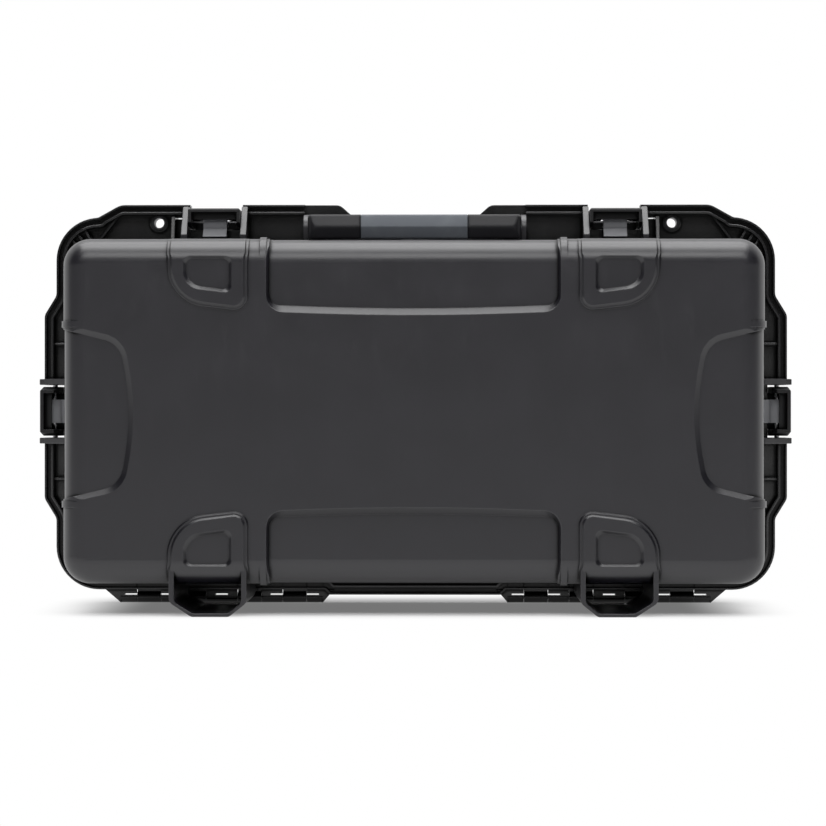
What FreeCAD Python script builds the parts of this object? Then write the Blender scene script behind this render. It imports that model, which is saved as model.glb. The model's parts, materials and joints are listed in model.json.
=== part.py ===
"""Long hard case with a hinged lid, four lever latches and a folding handle.

The case stands on its hinge side, as it is stored. X runs along its length, Z points up
from the hinge side to the handle side, and Y runs from the bottom of the base, at the
negative side, to the outer face of the lid. The origin lies on the floor, below the
middle of the closed case. All sizes are in millimetres.
"""

import FreeCAD, Part
import math
import os

from FreeCAD import Matrix, Placement, Vector

# Driving sizes of the two tubs that make the closed case.
base_depth = 150.0            # pads on the bottom face to the parting plane
lid_depth = 62.0              # parting plane to the outer face of the lid
rim_length = 646.0            # outside length of a tub at the parting plane
rim_width = 322.0             # outside width of a tub at the parting plane, along Z
wall_above_floor = 24.5       # lower wall of the tubs above the floor, at the parting plane
draft_angle = 2.0             # degrees
wall = 4.0
corner_radius = 29.0          # corners of the rim, seen from the front
edge_radius = 22.0            # round between a tub's walls and its face
parting_gap = 0.4             # between the two rims when the lid is shut
overrun = 5.0                 # how far cutting tools run past what they cut
smallest_edge = 0.01          # runs shorter than this are left out of an outline

# Raised pads, sunk panels and ridges on the faces of the tubs.
pad_rise = 3.0                # main face up to the pads' face
pad_slope = 1.8               # run of a pad's sloped edge
pad_skirt = 3.0               # low step round a pad
pad_skirt_rise = 1.5
pad_skirt_slope = 1.2
pad_wrap = 0.3                # how far a pad stands out where it wraps over the edge
pad_start = 116.0             # the pads wrap over the edge from this depth on
long_panel_depth = 6.0        # main face down to the floor of a panel beside a long wall
end_panel_depth = 3.0         # the same beside a short wall
panel_wrap = 0.8              # depth of a panel where it runs on over the wall
long_slope_shares = (1.0, 0.42)   # runs of its inner and side slopes, as shares of its depth
end_slope_shares = (1.4, 1.4)
even_slope_shares = (1.0, 1.0)
pocket_depth = 2.6            # D-shaped pocket inside a pad
socket_depth = 3.6            # sockets in the lid that take another case's pads
socket_slack = 1.5            # clearance round a stacked pad
ridge_rise = 1.6              # ridges that frame the panels on the walls
ridge_width = 6.0
ridge_gap = 0.2               # between a panel's edge and its ridge
ridge_sink = 0.3              # the ridges fade out this far below the main face
pad_center = 185.7            # middle of each pad and foot along X
pad_half = 33.8
pad_reach_in = 69.0           # from the rim's line to the inner corner of a pad
pad_round_out = 34.0
pad_round_in = 10.0
pad_lean = 8.3                # a pad's outer corner is nearer to the edge by this
pocket_half = 19.3
pocket_reach_in = 52.0
pocket_reach_out = 23.0
pocket_round_out = 16.0
pocket_round_in = 6.0
pocket_lean = 5.4
long_panel_half = 130.4
long_panel_reach = 65.1       # from the rim's line to a long panel's inner edge
long_panel_bow = 4.7
long_panel_round = 10.0
long_bow_radius = 2500.0
end_panel_half = 86.6         # at the flange's line
end_panel_reach = 70.5        # from the rim's line to an end panel's inner edge
end_panel_waist = 13.3        # its corners are nearer to the edge by this
end_panel_lean = 22.4
end_panel_drop = 2.8          # its middle and its ridges lie below the latch by this
end_ridge_stand = 78.6        # ridges of the short walls, from the panel's middle
end_panel_round = 22.0
end_bow_radius = 235.0

# Rim flange, the same outline on both tubs.
flange_thick = 4.0
flange_side_reach = 18.6      # past the tub's wall at the corners of the short sides
flange_bump = 11.3            # further reach of the short sides round their latch
flange_bump_half = 105.9      # half height of that bump at its foot
flange_bump_run = 18.5
flange_bump_lift = 4.2        # its middle lies above the latch by this
flange_front_reach = 35.4     # past the tub's wall on the handle side
flange_shoulder = 280.4       # half length of the straight front edge
flange_shoulder_drop = 12.0
flange_shoulder_run = 21.5
flange_shoulder_round = 16.0
flange_corner_round = 41.0
flange_small_round = 10.0
flange_foot_round = 5.0
flange_back_reach = 8.5       # past the tub's wall on the hinge side
flange_back_bump = 4.9        # further reach of the middle of the hinge side
flange_back_bump_half = 81.0
handle_notch_half = 51.5      # gap in the front edge behind the handle
handle_notch_drop = 18.0
handle_notch_run = 20.0
lip_thick = 1.9               # outer lip along the flange's edge
lip_tall = 9.0
inner_rib_inset = 7.4         # edge of the flange to the inner rib
inner_rib_thick = 2.2
inner_rib_tall = 18.0
rib_thick = 1.9               # short stiffening ribs
rib_tall = 15.0
wide_rib_thick = 3.4
wide_rib_gap = 10.0           # from a front fin to the middle of the wide rib beside it
wide_rib_foot = 26.0          # depth of that rib at the tub's wall
wide_rib_tip = 15.0           # and at its other end
corner_rib_angles = (38.0, 52.0, 66.0)         # degrees from the X axis
shoulder_rib_angle = 69.0
side_rib_offset = 64.0        # short ribs of the side bump, from the middle

# Seal between the tubs.
tongue_thick = 2.6
tongue_tall = 3.4
seal_width = 4.8
seal_slack = 0.2              # each side of the seal in its groove
seal_thick = 3.3
seal_gap = 0.4                # seal to the tongue's tip
bead_wall = 1.9               # walls of the lid's groove
bead_roof = 2.1

# Hinges: a row of knuckles on each half of the hinge side, on one steel pin each.
hinge_center = 184.4
hinge_axis_z = 8.2
knuckle_radius = 5.0
hinge_pin_radius = 1.6
pin_slack = 0.06              # running clearance of pins in the parts that turn on them
knuckle_gap = 0.3
knuckle_length = 23.0
knuckle_offsets = (-69.5, -26.5, 26.5, 69.5)   # lid knuckles from the hinge's centre
hinge_half = 96.5
hinge_end_runs = (-11.0, 15.0)                 # sloped ends of a hinge row, inner and outer
web_thick = 4.8
light_slot_length = 11.5
light_slot_tall = 1.4
light_slot_skin = 0.6         # left between a slot and the pins' bore
light_slot_offsets = (-86.8, -52.2, 0.0, 52.2, 86.8)

# Latches: a hollow lever on the lid, with a rocking trigger that carries the claw.
latch_x = 189.0               # middle of the front latches
latch_slot = 50.0             # between the fins
fin_thick = 5.5
fin_reach = 32.8              # past the tub's wall
fin_length = 46.0             # along the base, from the parting plane
fin_slope = 24.0
fin_low = 5.0                 # height of the fins' thin ends
lid_fin_length = 33.0
lid_fin_slope = 8.0
fin_edge_round = 1.0
fin_root = 2.0                # how deep the fins reach into the wall
fin_slit = 1.2                # low slot through the flange, from a front fin to the rib beside it
pivot_rise = 22.8             # latch pivot above the tub's wall
pivot_setback = 13.0          # latch pivot behind the parting plane, on the lid
lever_half = 24.4             # front levers
side_lever_half = 23.2        # the side levers are narrower, and taper to their free end,
side_lever_end = 20.2         # so that they clear the fins as the lid swings
lever_taper = 18.0
lever_reach = 54.0            # pivot to the lever's free end
lever_heel = 9.0              # pivot to the lever's other end
lever_top = 7.2               # outer face above the pivot
lever_skirt = 10.0            # side walls below the pivot
lever_lift = 4.0              # rise of the side walls' lower edge at both ends
lever_wall = 3.0
lever_roof = 3.6
lever_hub = 8.0               # solid part round the pivot
lever_room = 0.3              # lever to the plate that closes the lid's slot behind it
lever_rib = 2.4               # rib across the lever, past the window
lever_rib_drop = 2.8
lever_round = 2.0
window_half = 12.5
window_start = 15.0           # from the pivot
window_end = 42.0
latch_pin_radius = 2.5
pin_head_radius = 3.6
pin_head_thick = 1.8
head_room = 1.4               # clearance round the pin heads in the flange
trigger_half = 11.0
trigger_pin_radius = 1.5
trigger_pin_inset = 1.2       # ends of the trigger's pin below the lever's sides
trigger_pivot_reach = 28.0    # from the latch pivot towards the free end
trigger_pivot_drop = 4.0      # below the latch pivot
trigger_back = 17.5           # nearest end of the trigger from the latch pivot
trigger_face = 38.5           # far end of its finger pad
trigger_chin = 41.0           # far edge of its face, in line with its pin
trigger_chin_drop = 1.2
trigger_throat = 38.5
trigger_throat_drop = 10.9
claw_reach = 46.0
claw_root = 34.0
claw_drop = 19.0              # claw tip below the latch pivot
trigger_belly = 8.5           # underside below the latch pivot
button_top = 6.4              # finger pad above the latch pivot
button_groove = 0.8
button_groove_starts = (21.0, 25.0, 29.0, 33.0)
button_groove_width = 1.6
spring_strip = 0.6
spring_half = 4.0
spring_end = 24.0             # from the latch pivot
spring_foot = 6.0
keeper_rise = 3.0             # ledge that the claw closes over
keeper_length = 16.6

# Handle, folded flat on the front wall.
handle_half = 98.8
handle_reach = 62.0           # pivot to the outer side of the bar
handle_thick = 22.5
handle_bar = 22.0
handle_arm = 17.0
handle_lift = 0.5             # above the rim's line at its pivot when folded
handle_pivot_back = 24.0      # from the parting plane
handle_facet = 3.4            # how far the bar's faces lean
handle_corner = 9.0
handle_inner_corner = 5.0
handle_edge_round = 2.0
grip_half = 49.6
grip_skin = 3.0
grip_edge = 1.0
handle_pin_radius = 3.0
handle_pin_depth = 13.0       # of the pin inside an arm
ear_thick = 4.7
ear_gap = 1.4
ear_radius = 13.0
handle_room = 27.0            # the flange's ribs are left out this far from the parting plane

# Feet on the hinge side.
foot_half = 35.1
foot_wall = 4.6
foot_sole = 3.0
foot_cut_out = (20.3, 13.2)   # sloped outer corner, along X and Z
foot_cut_in = (15.8, 12.5)    # sloped inner corner
foot_side_round = 8.0
foot_sole_round = 6.0
foot_top = 48.5
foot_back = 10.0              # from the parting plane to the end of a base foot
foot_front = 2.0              # from the bottom face to the start of a base foot
lid_foot_back = 18.0          # from the parting plane to the start of a lid foot
lid_foot_front = 3.0

# Padlock holes with steel eyelets.
padlock_x = 243.8
padlock_inset = 17.1          # below the front edge of the flange
eyelet_radius = 4.75
eyelet_wall = 1.3
eyelet_slack = 0.1            # round the eyelet in its boss
eyelet_head_radius = 7.2
eyelet_head_thick = 1.0
boss_wall = 2.6
boss_tall = 8.0

# Pressure valve in the front wall of the base, behind the handle.
valve_x = 0.0
valve_back = 40.0             # from the parting plane
valve_stem = 6.0
valve_slack = 0.1
valve_head = 10.5
valve_head_thick = 3.5
valve_seat = 13.0
valve_seat_rise = 1.4
valve_nut = 9.5
valve_nut_thick = 4.5
nut_sides = 6
valve_tail = 1.5              # of the stem past the nut
valve_bore = 3.0
valve_seal_thick = 1.2
valve_seal_radius = 9.5
valve_chamber = 5.6
valve_chamber_tall = 1.6
valve_roof = 1.0
membrane_radius = 5.4
membrane_thick = 0.8
vent_half = 0.8
vent_count = 6

half_length = rim_length / 2
rim_top = wall_above_floor + rim_width
rim_middle = wall_above_floor + rim_width / 2
front_edge = rim_top + flange_front_reach
overall_depth = base_depth + lid_depth
parting = base_depth - overall_depth / 2
slope = math.tan(math.radians(draft_angle))
mouth = parting_gap / 2
far_out = flange_front_reach + overrun
quarter_turn = math.pi / 2
eyelet_bore = eyelet_radius + eyelet_wall + eyelet_slack
boss_radius = eyelet_bore + boss_wall
pin_head_end = latch_slot / 2 + fin_thick + pin_head_thick
seat_high = valve_seat_rise - slope * valve_back
seat_low = -slope * valve_back - wall - panel_wrap - valve_seat_rise
BASE, LID = -1, 1
face_depth = {BASE: base_depth - pad_rise, LID: lid_depth}
ALONG_X, ALONG_Y, ALONG_Z = Vector(1, 0, 0), Vector(0, 1, 0), Vector(0, 0, 1)
ORIGIN = Vector(0, 0, 0)


def depth_y(side, depth):
    """Y of a plane that lies depth away from the parting plane, into the base or the lid."""
    return parting + side * depth


def outline(corners, y):
    """Closed wire at y: straight runs between (x, z, radius) corners, joined by tangent arcs."""
    points = [Vector(x, y, z) for x, z, _ in corners]
    arcs = []
    for i, here in enumerate(points):
        radius = corners[i][2]
        if not radius:
            arcs.append((here, here, here))
            continue
        back = (points[i - 1] - here).normalize()
        fore = (points[(i + 1) % len(points)] - here).normalize()
        half = back.getAngle(fore) / 2
        middle = (back + fore).normalize()
        reach = radius / math.tan(half)
        crown = here + middle * (radius / math.sin(half) - radius)
        arcs.append((here + back * reach, crown, here + fore * reach))
    edges = []
    for i, (start, crown, end) in enumerate(arcs):
        if corners[i][2]:
            edges.append(Part.Arc(start, crown, end).toShape())
        following = arcs[(i + 1) % len(arcs)][0]
        if end.distanceToPoint(following) > smallest_edge:
            edges.append(Part.LineSegment(end, following).toShape())
    return Part.Wire(edges)


def slab(wire, run):
    """Solid made by sliding a closed wire along Y by run."""
    return Part.Face(wire).extrude(ALONG_Y * run)


def column(corners, y_from, y_to):
    """Prism of an outline between two planes."""
    return slab(outline(corners, y_from), y_to - y_from)


def block(x0, x1, y0, y1, z0, z1):
    """Box between two corners, given as pairs in any order."""
    low = Vector(min(x0, x1), min(y0, y1), min(z0, z1))
    return Part.makeBox(abs(x1 - x0), abs(y1 - y0), abs(z1 - z0), low)


def prism_x(points, x_from, x_to):
    """Prism whose section is a polygon of (y, z) points, between two X planes."""
    corners = [Vector(x_from, y, z) for y, z in points]
    face = Part.Face(Part.makePolygon(corners + corners[:1]))
    return face.extrude(ALONG_X * (x_to - x_from))


def prism_z(points, z_from, z_to):
    """Prism whose section is a polygon of (x, y) points, between two Z planes."""
    corners = [Vector(x, y, z_from) for x, y in points]
    face = Part.Face(Part.makePolygon(corners + corners[:1]))
    return face.extrude(ALONG_Z * (z_to - z_from))


def rod(x_from, x_to, y, z, radius):
    """Cylinder along X."""
    return Part.makeCylinder(radius, x_to - x_from, Vector(x_from, y, z), ALONG_X)


def both(shape):
    """A shape and its mirror image on the other side of the case's middle."""
    return [shape, shape.mirror(ORIGIN, ALONG_X)]


def rounded(shape, radius, chosen):
    """Rounds the edges that the test picks."""
    return shape.makeFillet(radius, [edge for edge in shape.Edges if chosen(edge)])


def edges_at(axis, value):
    """Test for edges that lie in the plane at one value of X, Y or Z."""
    def chosen(edge):
        """True for an edge whose two limits are at the value."""
        box = edge.BoundBox
        ends = (getattr(box, axis + "Min"), getattr(box, axis + "Max"))
        return all(abs(end - value) < mouth / 2 for end in ends)
    return chosen


def tub_corners(outset, depth):
    """Rounded rectangle of a tub's section at a depth, pushed out from its wall by outset."""
    move = outset - slope * depth
    x, z, radius = half_length + move, rim_width / 2 + move, corner_radius + move
    return [(sx * x, rim_middle + sz * z, radius) for sx, sz in ((-1, -1), (1, -1), (1, 1), (-1, 1))]


def tub(side, outset, depth, radius, start=mouth):
    """Solid drafted block from near the parting plane to a depth, with a rounded face edge."""
    near = outline(tub_corners(outset, start), depth_y(side, start))
    far = outline(tub_corners(outset, depth), depth_y(side, depth))
    solid = Part.makeLoft([near, far], True, True)
    return rounded(solid, radius, edges_at("Y", depth_y(side, depth)))


def ring(side, outer, inner, depth_from, depth_to):
    """Band that follows the tub's rim between two outsets, straight along Y."""
    start, end = depth_y(side, depth_from), depth_y(side, depth_to)
    body = column(tub_corners(outer, 0), start, end)
    return body.cut(column(tub_corners(inner, 0), start - side * overrun, end + side * overrun))


def toward(edge, distance):
    """Z at a distance from the front wall's line (edge 1) or the back wall's line (edge -1)."""
    return rim_middle + edge * (rim_width / 2 - distance)


def pad_corners(edge, inward=0, beside=0):
    """D shape of a pad at the front (edge 1) or at the back (edge -1), on the right side.

    The shape is pushed out towards the middle of the face and beside, as in the next ones.
    """
    half, low = pad_half + beside, pad_reach_in + inward
    return [
        (pad_center - half, toward(edge, -far_out), 0),
        (pad_center + half, toward(edge, -far_out), 0),
        (pad_center + half, toward(edge, low - pad_lean), pad_round_out + inward),
        (pad_center - half, toward(edge, low), pad_round_in + inward),
    ]


def pocket_corners(edge, inward=0, beside=0):
    """D shape of the pocket inside a pad."""
    half, low, high = pocket_half + beside, pocket_reach_in + inward, pocket_reach_out - inward
    return [
        (pad_center - half, toward(edge, high), pocket_round_in),
        (pad_center + half, toward(edge, high), pocket_round_in),
        (pad_center + half, toward(edge, low - pocket_lean), pocket_round_out),
        (pad_center - half, toward(edge, low), pocket_round_in),
    ]


def socket_corners(edge, inward=0, beside=0):
    """A pad's outline with the room it needs in the lid of the case below it."""
    room = pad_skirt + socket_slack
    return pad_corners(edge, inward + room, beside + room)


def long_panel_corners(edge, inward=0, beside=0):
    """Panel in the middle of a long side, with a slightly bowed inner edge."""
    half, low = long_panel_half + beside, long_panel_reach + inward
    return [
        (-half, toward(edge, -far_out), 0),
        (half, toward(edge, -far_out), 0),
        (half, toward(edge, low), long_panel_round + inward),
        (0, toward(edge, low + long_panel_bow), long_bow_radius),
        (-half, toward(edge, low), long_panel_round + inward),
    ]


def end_panel_corners(edge, inward=0, beside=0):
    """Panel in the middle of the right short side (edge 1) or the left one (edge -1)."""
    half = end_panel_half + beside
    inner = half_length - end_panel_reach - inward
    outside = half_length + flange_side_reach + flange_bump + overrun
    tip = half - end_panel_lean
    middle = rim_middle - end_panel_drop
    return [
        (edge * outside, middle - half, 0),
        (edge * outside, middle + half, 0),
        (edge * (inner + end_panel_waist), middle + tip, end_panel_round + inward),
        (edge * inner, middle, end_bow_radius),
        (edge * (inner + end_panel_waist), middle - tip, end_panel_round + inward),
    ]


def flared(side, corners, edge, floor, face, shares):
    """Column with sloped sides from a panel's floor to past the face above it."""
    low = outline(corners(edge), depth_y(side, floor))
    inward, beside = [share * (face + overrun - floor) for share in shares]
    high = outline(corners(edge, inward, beside), depth_y(side, face + overrun))
    return Part.makeLoft([low, high], True, True)


def sunk(side, corners, edge, sink, wrap, shares):
    """Tool for a panel with sloped edges in a tub's face, which runs on over the tub's wall."""
    face = face_depth[side]
    floor = face - sink
    region = column(corners(edge), depth_y(side, -overrun), depth_y(side, floor))
    region = region.fuse(flared(side, corners, edge, floor, face, shares))
    return region.cut(tub(side, -wrap, floor, edge_radius, start=-2 * overrun))


def sunk_areas(side):
    """The corner functions, edges, depths, wraps and slopes of all sunk areas of a tub."""
    areas = []
    for edge in (1, -1):
        areas.append((long_panel_corners, edge, long_panel_depth, panel_wrap, long_slope_shares))
        areas.append((end_panel_corners, edge, end_panel_depth, panel_wrap, end_slope_shares))
        if side == LID:
            areas.append((socket_corners, edge, socket_depth, 0, even_slope_shares))
    return areas


def area_tools(side):
    """Tools that cut a tub's sunk areas. The sockets of the lid come in mirrored pairs."""
    tools = []
    for corners, edge, sink, wrap, shares in sunk_areas(side):
        tool = sunk(side, corners, edge, sink, wrap, shares)
        tools += both(tool) if corners is socket_corners else [tool]
    return tools


def hollow(side):
    """The space inside a tub, shallower behind its sunk areas."""
    full = face_depth[side] - wall
    space = tub(side, -wall, full, edge_radius - wall, start=-overrun)
    backs = []
    for corners, edge, *_ in sunk_areas(side):
        back = column(corners(edge, wall, wall), depth_y(side, -2 * overrun), depth_y(side, full + overrun))
        backs += both(back) if corners is socket_corners else [back]
    shallow = tub(side, -wall - panel_wrap, full - long_panel_depth, edge_radius - wall, start=-overrun)
    return space.cut(backs).fuse(shallow)


def ridges(side):
    """Narrow ridges on the walls, beside the sunk panels."""
    swollen = tub(side, ridge_rise, face_depth[side] - ridge_sink, edge_radius)
    near, far = depth_y(side, mouth), depth_y(side, face_depth[side] + overrun)
    span = long_panel_half + long_slope_shares[1] * long_panel_depth + ridge_gap
    middle = rim_middle - end_panel_drop
    bars = [
        block(span, span + ridge_width, near, far, toward(edge, long_panel_reach), toward(edge, -far_out))
        for edge in (1, -1)
    ]
    bars += [
        block(half_length - end_panel_reach, half_length + far_out, near, far,
              middle + edge * end_ridge_stand, middle + edge * (end_ridge_stand + ridge_width))
        for edge in (1, -1)
    ]
    return [piece for bar in bars for piece in both(bar.common(swollen))]


def raised(edge, margin, foot, top, run):
    """A pad's form, pushed out by margin: upright up to a foot depth, sloped from there on."""
    corners, low = pad_corners(edge, margin, margin), depth_y(BASE, foot)
    high = outline(pad_corners(edge, margin - run, margin - run), depth_y(BASE, top))
    slopes = Part.makeLoft([outline(corners, low), high], True, True)
    return column(corners, depth_y(BASE, pad_start), low).fuse(slopes)


def pads():
    """Raised D-shaped pads on the bottom face, each with a low step round it."""
    face, top = face_depth[BASE], base_depth
    ledge = face + pad_skirt_rise
    upper = tub(BASE, pad_wrap, top, edge_radius)
    lower = tub(BASE, pad_wrap / 2, ledge, edge_radius)
    found = []
    for edge in (1, -1):
        crown = raised(edge, 0, ledge, top, pad_slope).common(upper)
        skirt = raised(edge, pad_skirt, face, ledge, pad_skirt_slope).common(lower)
        pocket = flared(BASE, pocket_corners, edge, top - pocket_depth, top, even_slope_shares)
        found += both(crown.fuse(skirt).cut(pocket))
    return found


def flange_corners():
    """Outline of the rim flange, all round."""
    side = half_length + flange_side_reach
    shoulder = front_edge - flange_shoulder_drop
    bump_top = flange_bump_half - flange_bump_run
    middle = rim_middle + flange_bump_lift
    back = wall_above_floor - flange_back_reach
    right = [
        (handle_notch_half, front_edge - handle_notch_drop, flange_foot_round),
        (handle_notch_half + handle_notch_run, front_edge, flange_small_round),
        (flange_shoulder, front_edge, flange_shoulder_round),
        (flange_shoulder + flange_shoulder_run, shoulder, flange_foot_round),
        (side, shoulder, flange_corner_round),
        (side, middle + flange_bump_half, flange_small_round),
        (side + flange_bump, middle + bump_top, flange_small_round),
        (side + flange_bump, middle - bump_top, flange_small_round),
        (side, middle - flange_bump_half, flange_small_round),
        (side, back, flange_corner_round),
        (flange_back_bump_half + flange_back_bump, back, 0),
        (flange_back_bump_half, back - flange_back_bump, 0),
    ]
    return right + [(-x, z, r) for x, z, r in reversed(right)]


def seats():
    """Placements that carry a latch from the middle of the front wall to its four seats."""
    found = {}
    for name, x in (("front_left", -latch_x), ("front_right", latch_x)):
        found[name] = Placement(Vector(x, 0, rim_top), FreeCAD.Rotation())
    for name, sign in (("side_left", -1), ("side_right", 1)):
        turn = Matrix()
        turn.rotateY(sign * quarter_turn)
        turn.move(Vector(sign * half_length, 0, rim_middle))
        found[name] = Placement(turn)
    return found


def placed(shape, seat):
    """A rigid copy of a shape, moved by a placement."""
    copy = shape.copy()
    copy.Placement = seat.multiply(copy.Placement)
    return copy


def seated(shape):
    """Copies of a shape, one at each latch. The shape stands on the wall's line at Z 0."""
    return [placed(shape, seat) for seat in seats().values()]


def fins(side):
    """Pairs of fins beside each latch, on the base or on the lid."""
    length, cut = (fin_length, fin_slope) if side == BASE else (lid_fin_length, lid_fin_slope)
    near, far, bend = depth_y(side, mouth), depth_y(side, length), depth_y(side, length - cut)
    points = [(near, -fin_root), (far, -fin_root), (far, fin_low), (bend, fin_reach), (near, fin_reach)]
    fin = prism_x(points, latch_slot / 2, latch_slot / 2 + fin_thick)
    fin = rounded(fin, fin_edge_round, edges_at("Z", fin_reach))
    return [piece for one in both(fin) for piece in seated(one)]


def slot_tools(side):
    """Tools that clear the flange between the fins, and round the heads of the latch pins.

    The lid's flange stays whole below the lever and closes the slot behind it.
    """
    half = latch_slot / 2
    low = keeper_rise if side == BASE else pivot_rise - lever_skirt - lever_room
    slot = block(-half, half, depth_y(side, -overrun), depth_y(side, fin_length), low, far_out)
    tools = seated(slot)
    if side == LID:
        head = rod(half, pin_head_end + head_room, parting + pivot_setback, pivot_rise,
                   pin_head_radius + head_room)
        tools += [piece for one in both(head) for piece in seated(one)]
    return tools


def thin_wall(side, start, end, thick):
    """Upright rib on the flange between two (x, z) points."""
    near = depth_y(side, mouth)
    run = Vector(end[0] - start[0], 0, end[1] - start[1])
    across = Vector(-run.z, 0, run.x).normalize() * (thick / 2)
    a, b = Vector(start[0], near, start[1]), Vector(end[0], near, end[1])
    corners = [a + across, b + across, b - across, a - across, a + across]
    return slab(Part.makePolygon(corners), side * rib_tall)


def stiffeners(side):
    """Short ribs between the tub's wall and the inner rib."""
    inner = inner_rib_inset + inner_rib_thick / 2
    top = front_edge - inner
    shoulder = front_edge - flange_shoulder_drop
    hub_x, hub_z = half_length - corner_radius, rim_top - corner_radius
    arc_x, arc_z = half_length + flange_side_reach - flange_corner_round, shoulder - flange_corner_round
    low_arc_z = wall_above_floor - flange_back_reach + flange_corner_round
    reach = flange_corner_round - inner
    walls = []
    for degrees in corner_rib_angles + (shoulder_rib_angle,):
        across, up = math.cos(math.radians(degrees)), math.sin(math.radians(degrees))
        start = (hub_x + (corner_radius - fin_root) * across, hub_z + (corner_radius - fin_root) * up)
        if degrees == shoulder_rib_angle:
            walls.append((start, (flange_shoulder, top), rib_thick))
            continue
        walls.append((start, (arc_x + reach * across, arc_z + reach * up), rib_thick))
        low_start = (start[0], 2 * rim_middle - start[1])
        walls.append((low_start, (arc_x + reach * across, low_arc_z - reach * up), rib_thick))
    edge_x = half_length + flange_side_reach + flange_bump - inner
    for z in (rim_middle + side_rib_offset, rim_middle - side_rib_offset):
        walls.append(((half_length - fin_root, z), (edge_x, z), rib_thick))
    return [piece for start, end, thick in walls for piece in both(thin_wall(side, start, end, thick))]


def wide_ribs(side):
    """Wide ribs beside the front latches, with sloped faces like the fins'."""
    low, high = rim_top - fin_root, front_edge - inner_rib_inset - inner_rib_thick / 2
    near, foot, tip = (depth_y(side, depth) for depth in (mouth, wide_rib_foot, wide_rib_tip))
    start = latch_x + latch_slot / 2 + fin_thick + wide_rib_gap - wide_rib_thick / 2
    return both(prism_x([(near, low), (foot, low), (tip, high), (near, high)], start, start + wide_rib_thick))


def flange(side):
    """Flat rim flange with its outer lip, its inner rib and the stiffening ribs."""
    near = depth_y(side, mouth)
    wire = outline(flange_corners(), near)
    inner = wire.makeOffset2D(-inner_rib_inset)
    lip = slab(wire, side * lip_tall).cut(slab(wire.makeOffset2D(-lip_thick), side * lip_tall))
    core = inner.makeOffset2D(-inner_rib_thick)
    rib = slab(inner, side * inner_rib_tall).cut(slab(core, side * inner_rib_tall))
    pieces = [slab(wire, side * flange_thick), lip, rib] + stiffeners(side) + wide_ribs(side)
    x0, z0 = latch_x + latch_slot / 2 + fin_thick, rim_top + pivot_rise - fin_slit / 2
    x1, z1 = x0 + wide_rib_gap - wide_rib_thick / 2, z0 + fin_slit
    slit = block(x0, x1, depth_y(side, -overrun), depth_y(side, fin_length), z0, z1)
    tools = slot_tools(side) + both(slit)
    if side == BASE:
        clear = handle_half + ear_gap + ear_thick
        tools.append(block(-clear, clear, near - flange_thick, depth_y(BASE, handle_room),
                           rim_top, front_edge + overrun))
    return [piece.cut(tools) for piece in pieces]


def on_padlocks(radius, low, high, side):
    """Cylinders on both padlock holes, between two depths of one tub."""
    start = Vector(padlock_x, depth_y(side, low), front_edge - padlock_inset)
    return both(Part.makeCylinder(radius, high - low, start, ALONG_Y * side))


def eyelets(side):
    """Steel eyelets of one tub, right and left."""
    tubes = on_padlocks(eyelet_radius + eyelet_wall, mouth, boss_tall, side)
    heads = on_padlocks(eyelet_head_radius, boss_tall, boss_tall + eyelet_head_thick, side)
    bores = on_padlocks(eyelet_radius, -overrun, boss_tall + overrun, side)
    return [tube.fuse(head).cut(bore) for tube, head, bore in zip(tubes, heads, bores)]


def knuckle_spans(side):
    """X spans of one tub's knuckles, from the hinge's centre. The lid's lie between the base's."""
    half = knuckle_length / 2
    lid_spans = [(offset - half, offset + half) for offset in knuckle_offsets]
    if side == LID:
        return lid_spans
    edges = [-hinge_half] + [x for span in lid_spans for x in span] + [hinge_half]
    return list(zip(edges[0::2], edges[1::2]))


def knuckles(side):
    """Knuckles of one tub with the webs that carry them, on both halves of the case."""
    near, far = depth_y(side, mouth), depth_y(side, web_thick)
    found = []
    for low, high in knuckle_spans(side):
        x0, x1 = hinge_center + low + knuckle_gap / 2, hinge_center + high - knuckle_gap / 2
        barrel = rod(x0, x1, parting, hinge_axis_z, knuckle_radius)
        found += both(barrel.fuse(block(x0, x1, near, far, hinge_axis_z, wall_above_floor)))
    return found


def hinge_ends():
    """Sloped ends of the base's two rows of knuckles."""
    bottom = hinge_axis_z - knuckle_radius
    top = wall_above_floor - flange_back_reach
    found = []
    for run in hinge_end_runs:
        start = hinge_center + math.copysign(hinge_half - knuckle_gap, run)
        corners = [(start, bottom, 0), (start + run, top, 0), (start, top, 0)]
        found += both(column(corners, depth_y(BASE, mouth), depth_y(BASE, web_thick)))
    return found


def hinge_tools(side):
    """Tools that clear one tub for the other's knuckles, and bore its own for the pins."""
    found = []
    for low, high in knuckle_spans(LID if side == BASE else BASE):
        x0, x1 = hinge_center + low - knuckle_gap / 2, hinge_center + high + knuckle_gap / 2
        found += both(rod(x0, x1, parting, hinge_axis_z, knuckle_radius + knuckle_gap))
    slack = pin_slack if side == LID else 0
    found += both(rod(hinge_center - hinge_half, hinge_center + hinge_half, parting, hinge_axis_z,
                      hinge_pin_radius + slack))
    low = hinge_axis_z + hinge_pin_radius + pin_slack + light_slot_skin
    reach = inner_rib_tall + overrun
    for offset in light_slot_offsets:
        x0, x1 = hinge_center + offset - light_slot_length / 2, hinge_center + offset + light_slot_length / 2
        found += both(block(x0, x1, parting - reach, parting + reach, low, low + light_slot_tall))
    return found


def foot_corners(inset=0, sole=0):
    """Section of a foot on the right half, with its sloped lower corners."""
    out_x, out_z = foot_cut_out
    in_x, in_z = foot_cut_in
    half = foot_half - inset
    return [
        (pad_center - half, foot_top, 0),
        (pad_center - half, in_z, foot_side_round),
        (pad_center - foot_half + in_x + sole / 3, sole, foot_sole_round),
        (pad_center + foot_half - out_x - sole / 3, sole, foot_sole_round),
        (pad_center + half, out_z, foot_side_round),
        (pad_center + half, foot_top, 0),
    ]


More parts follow.
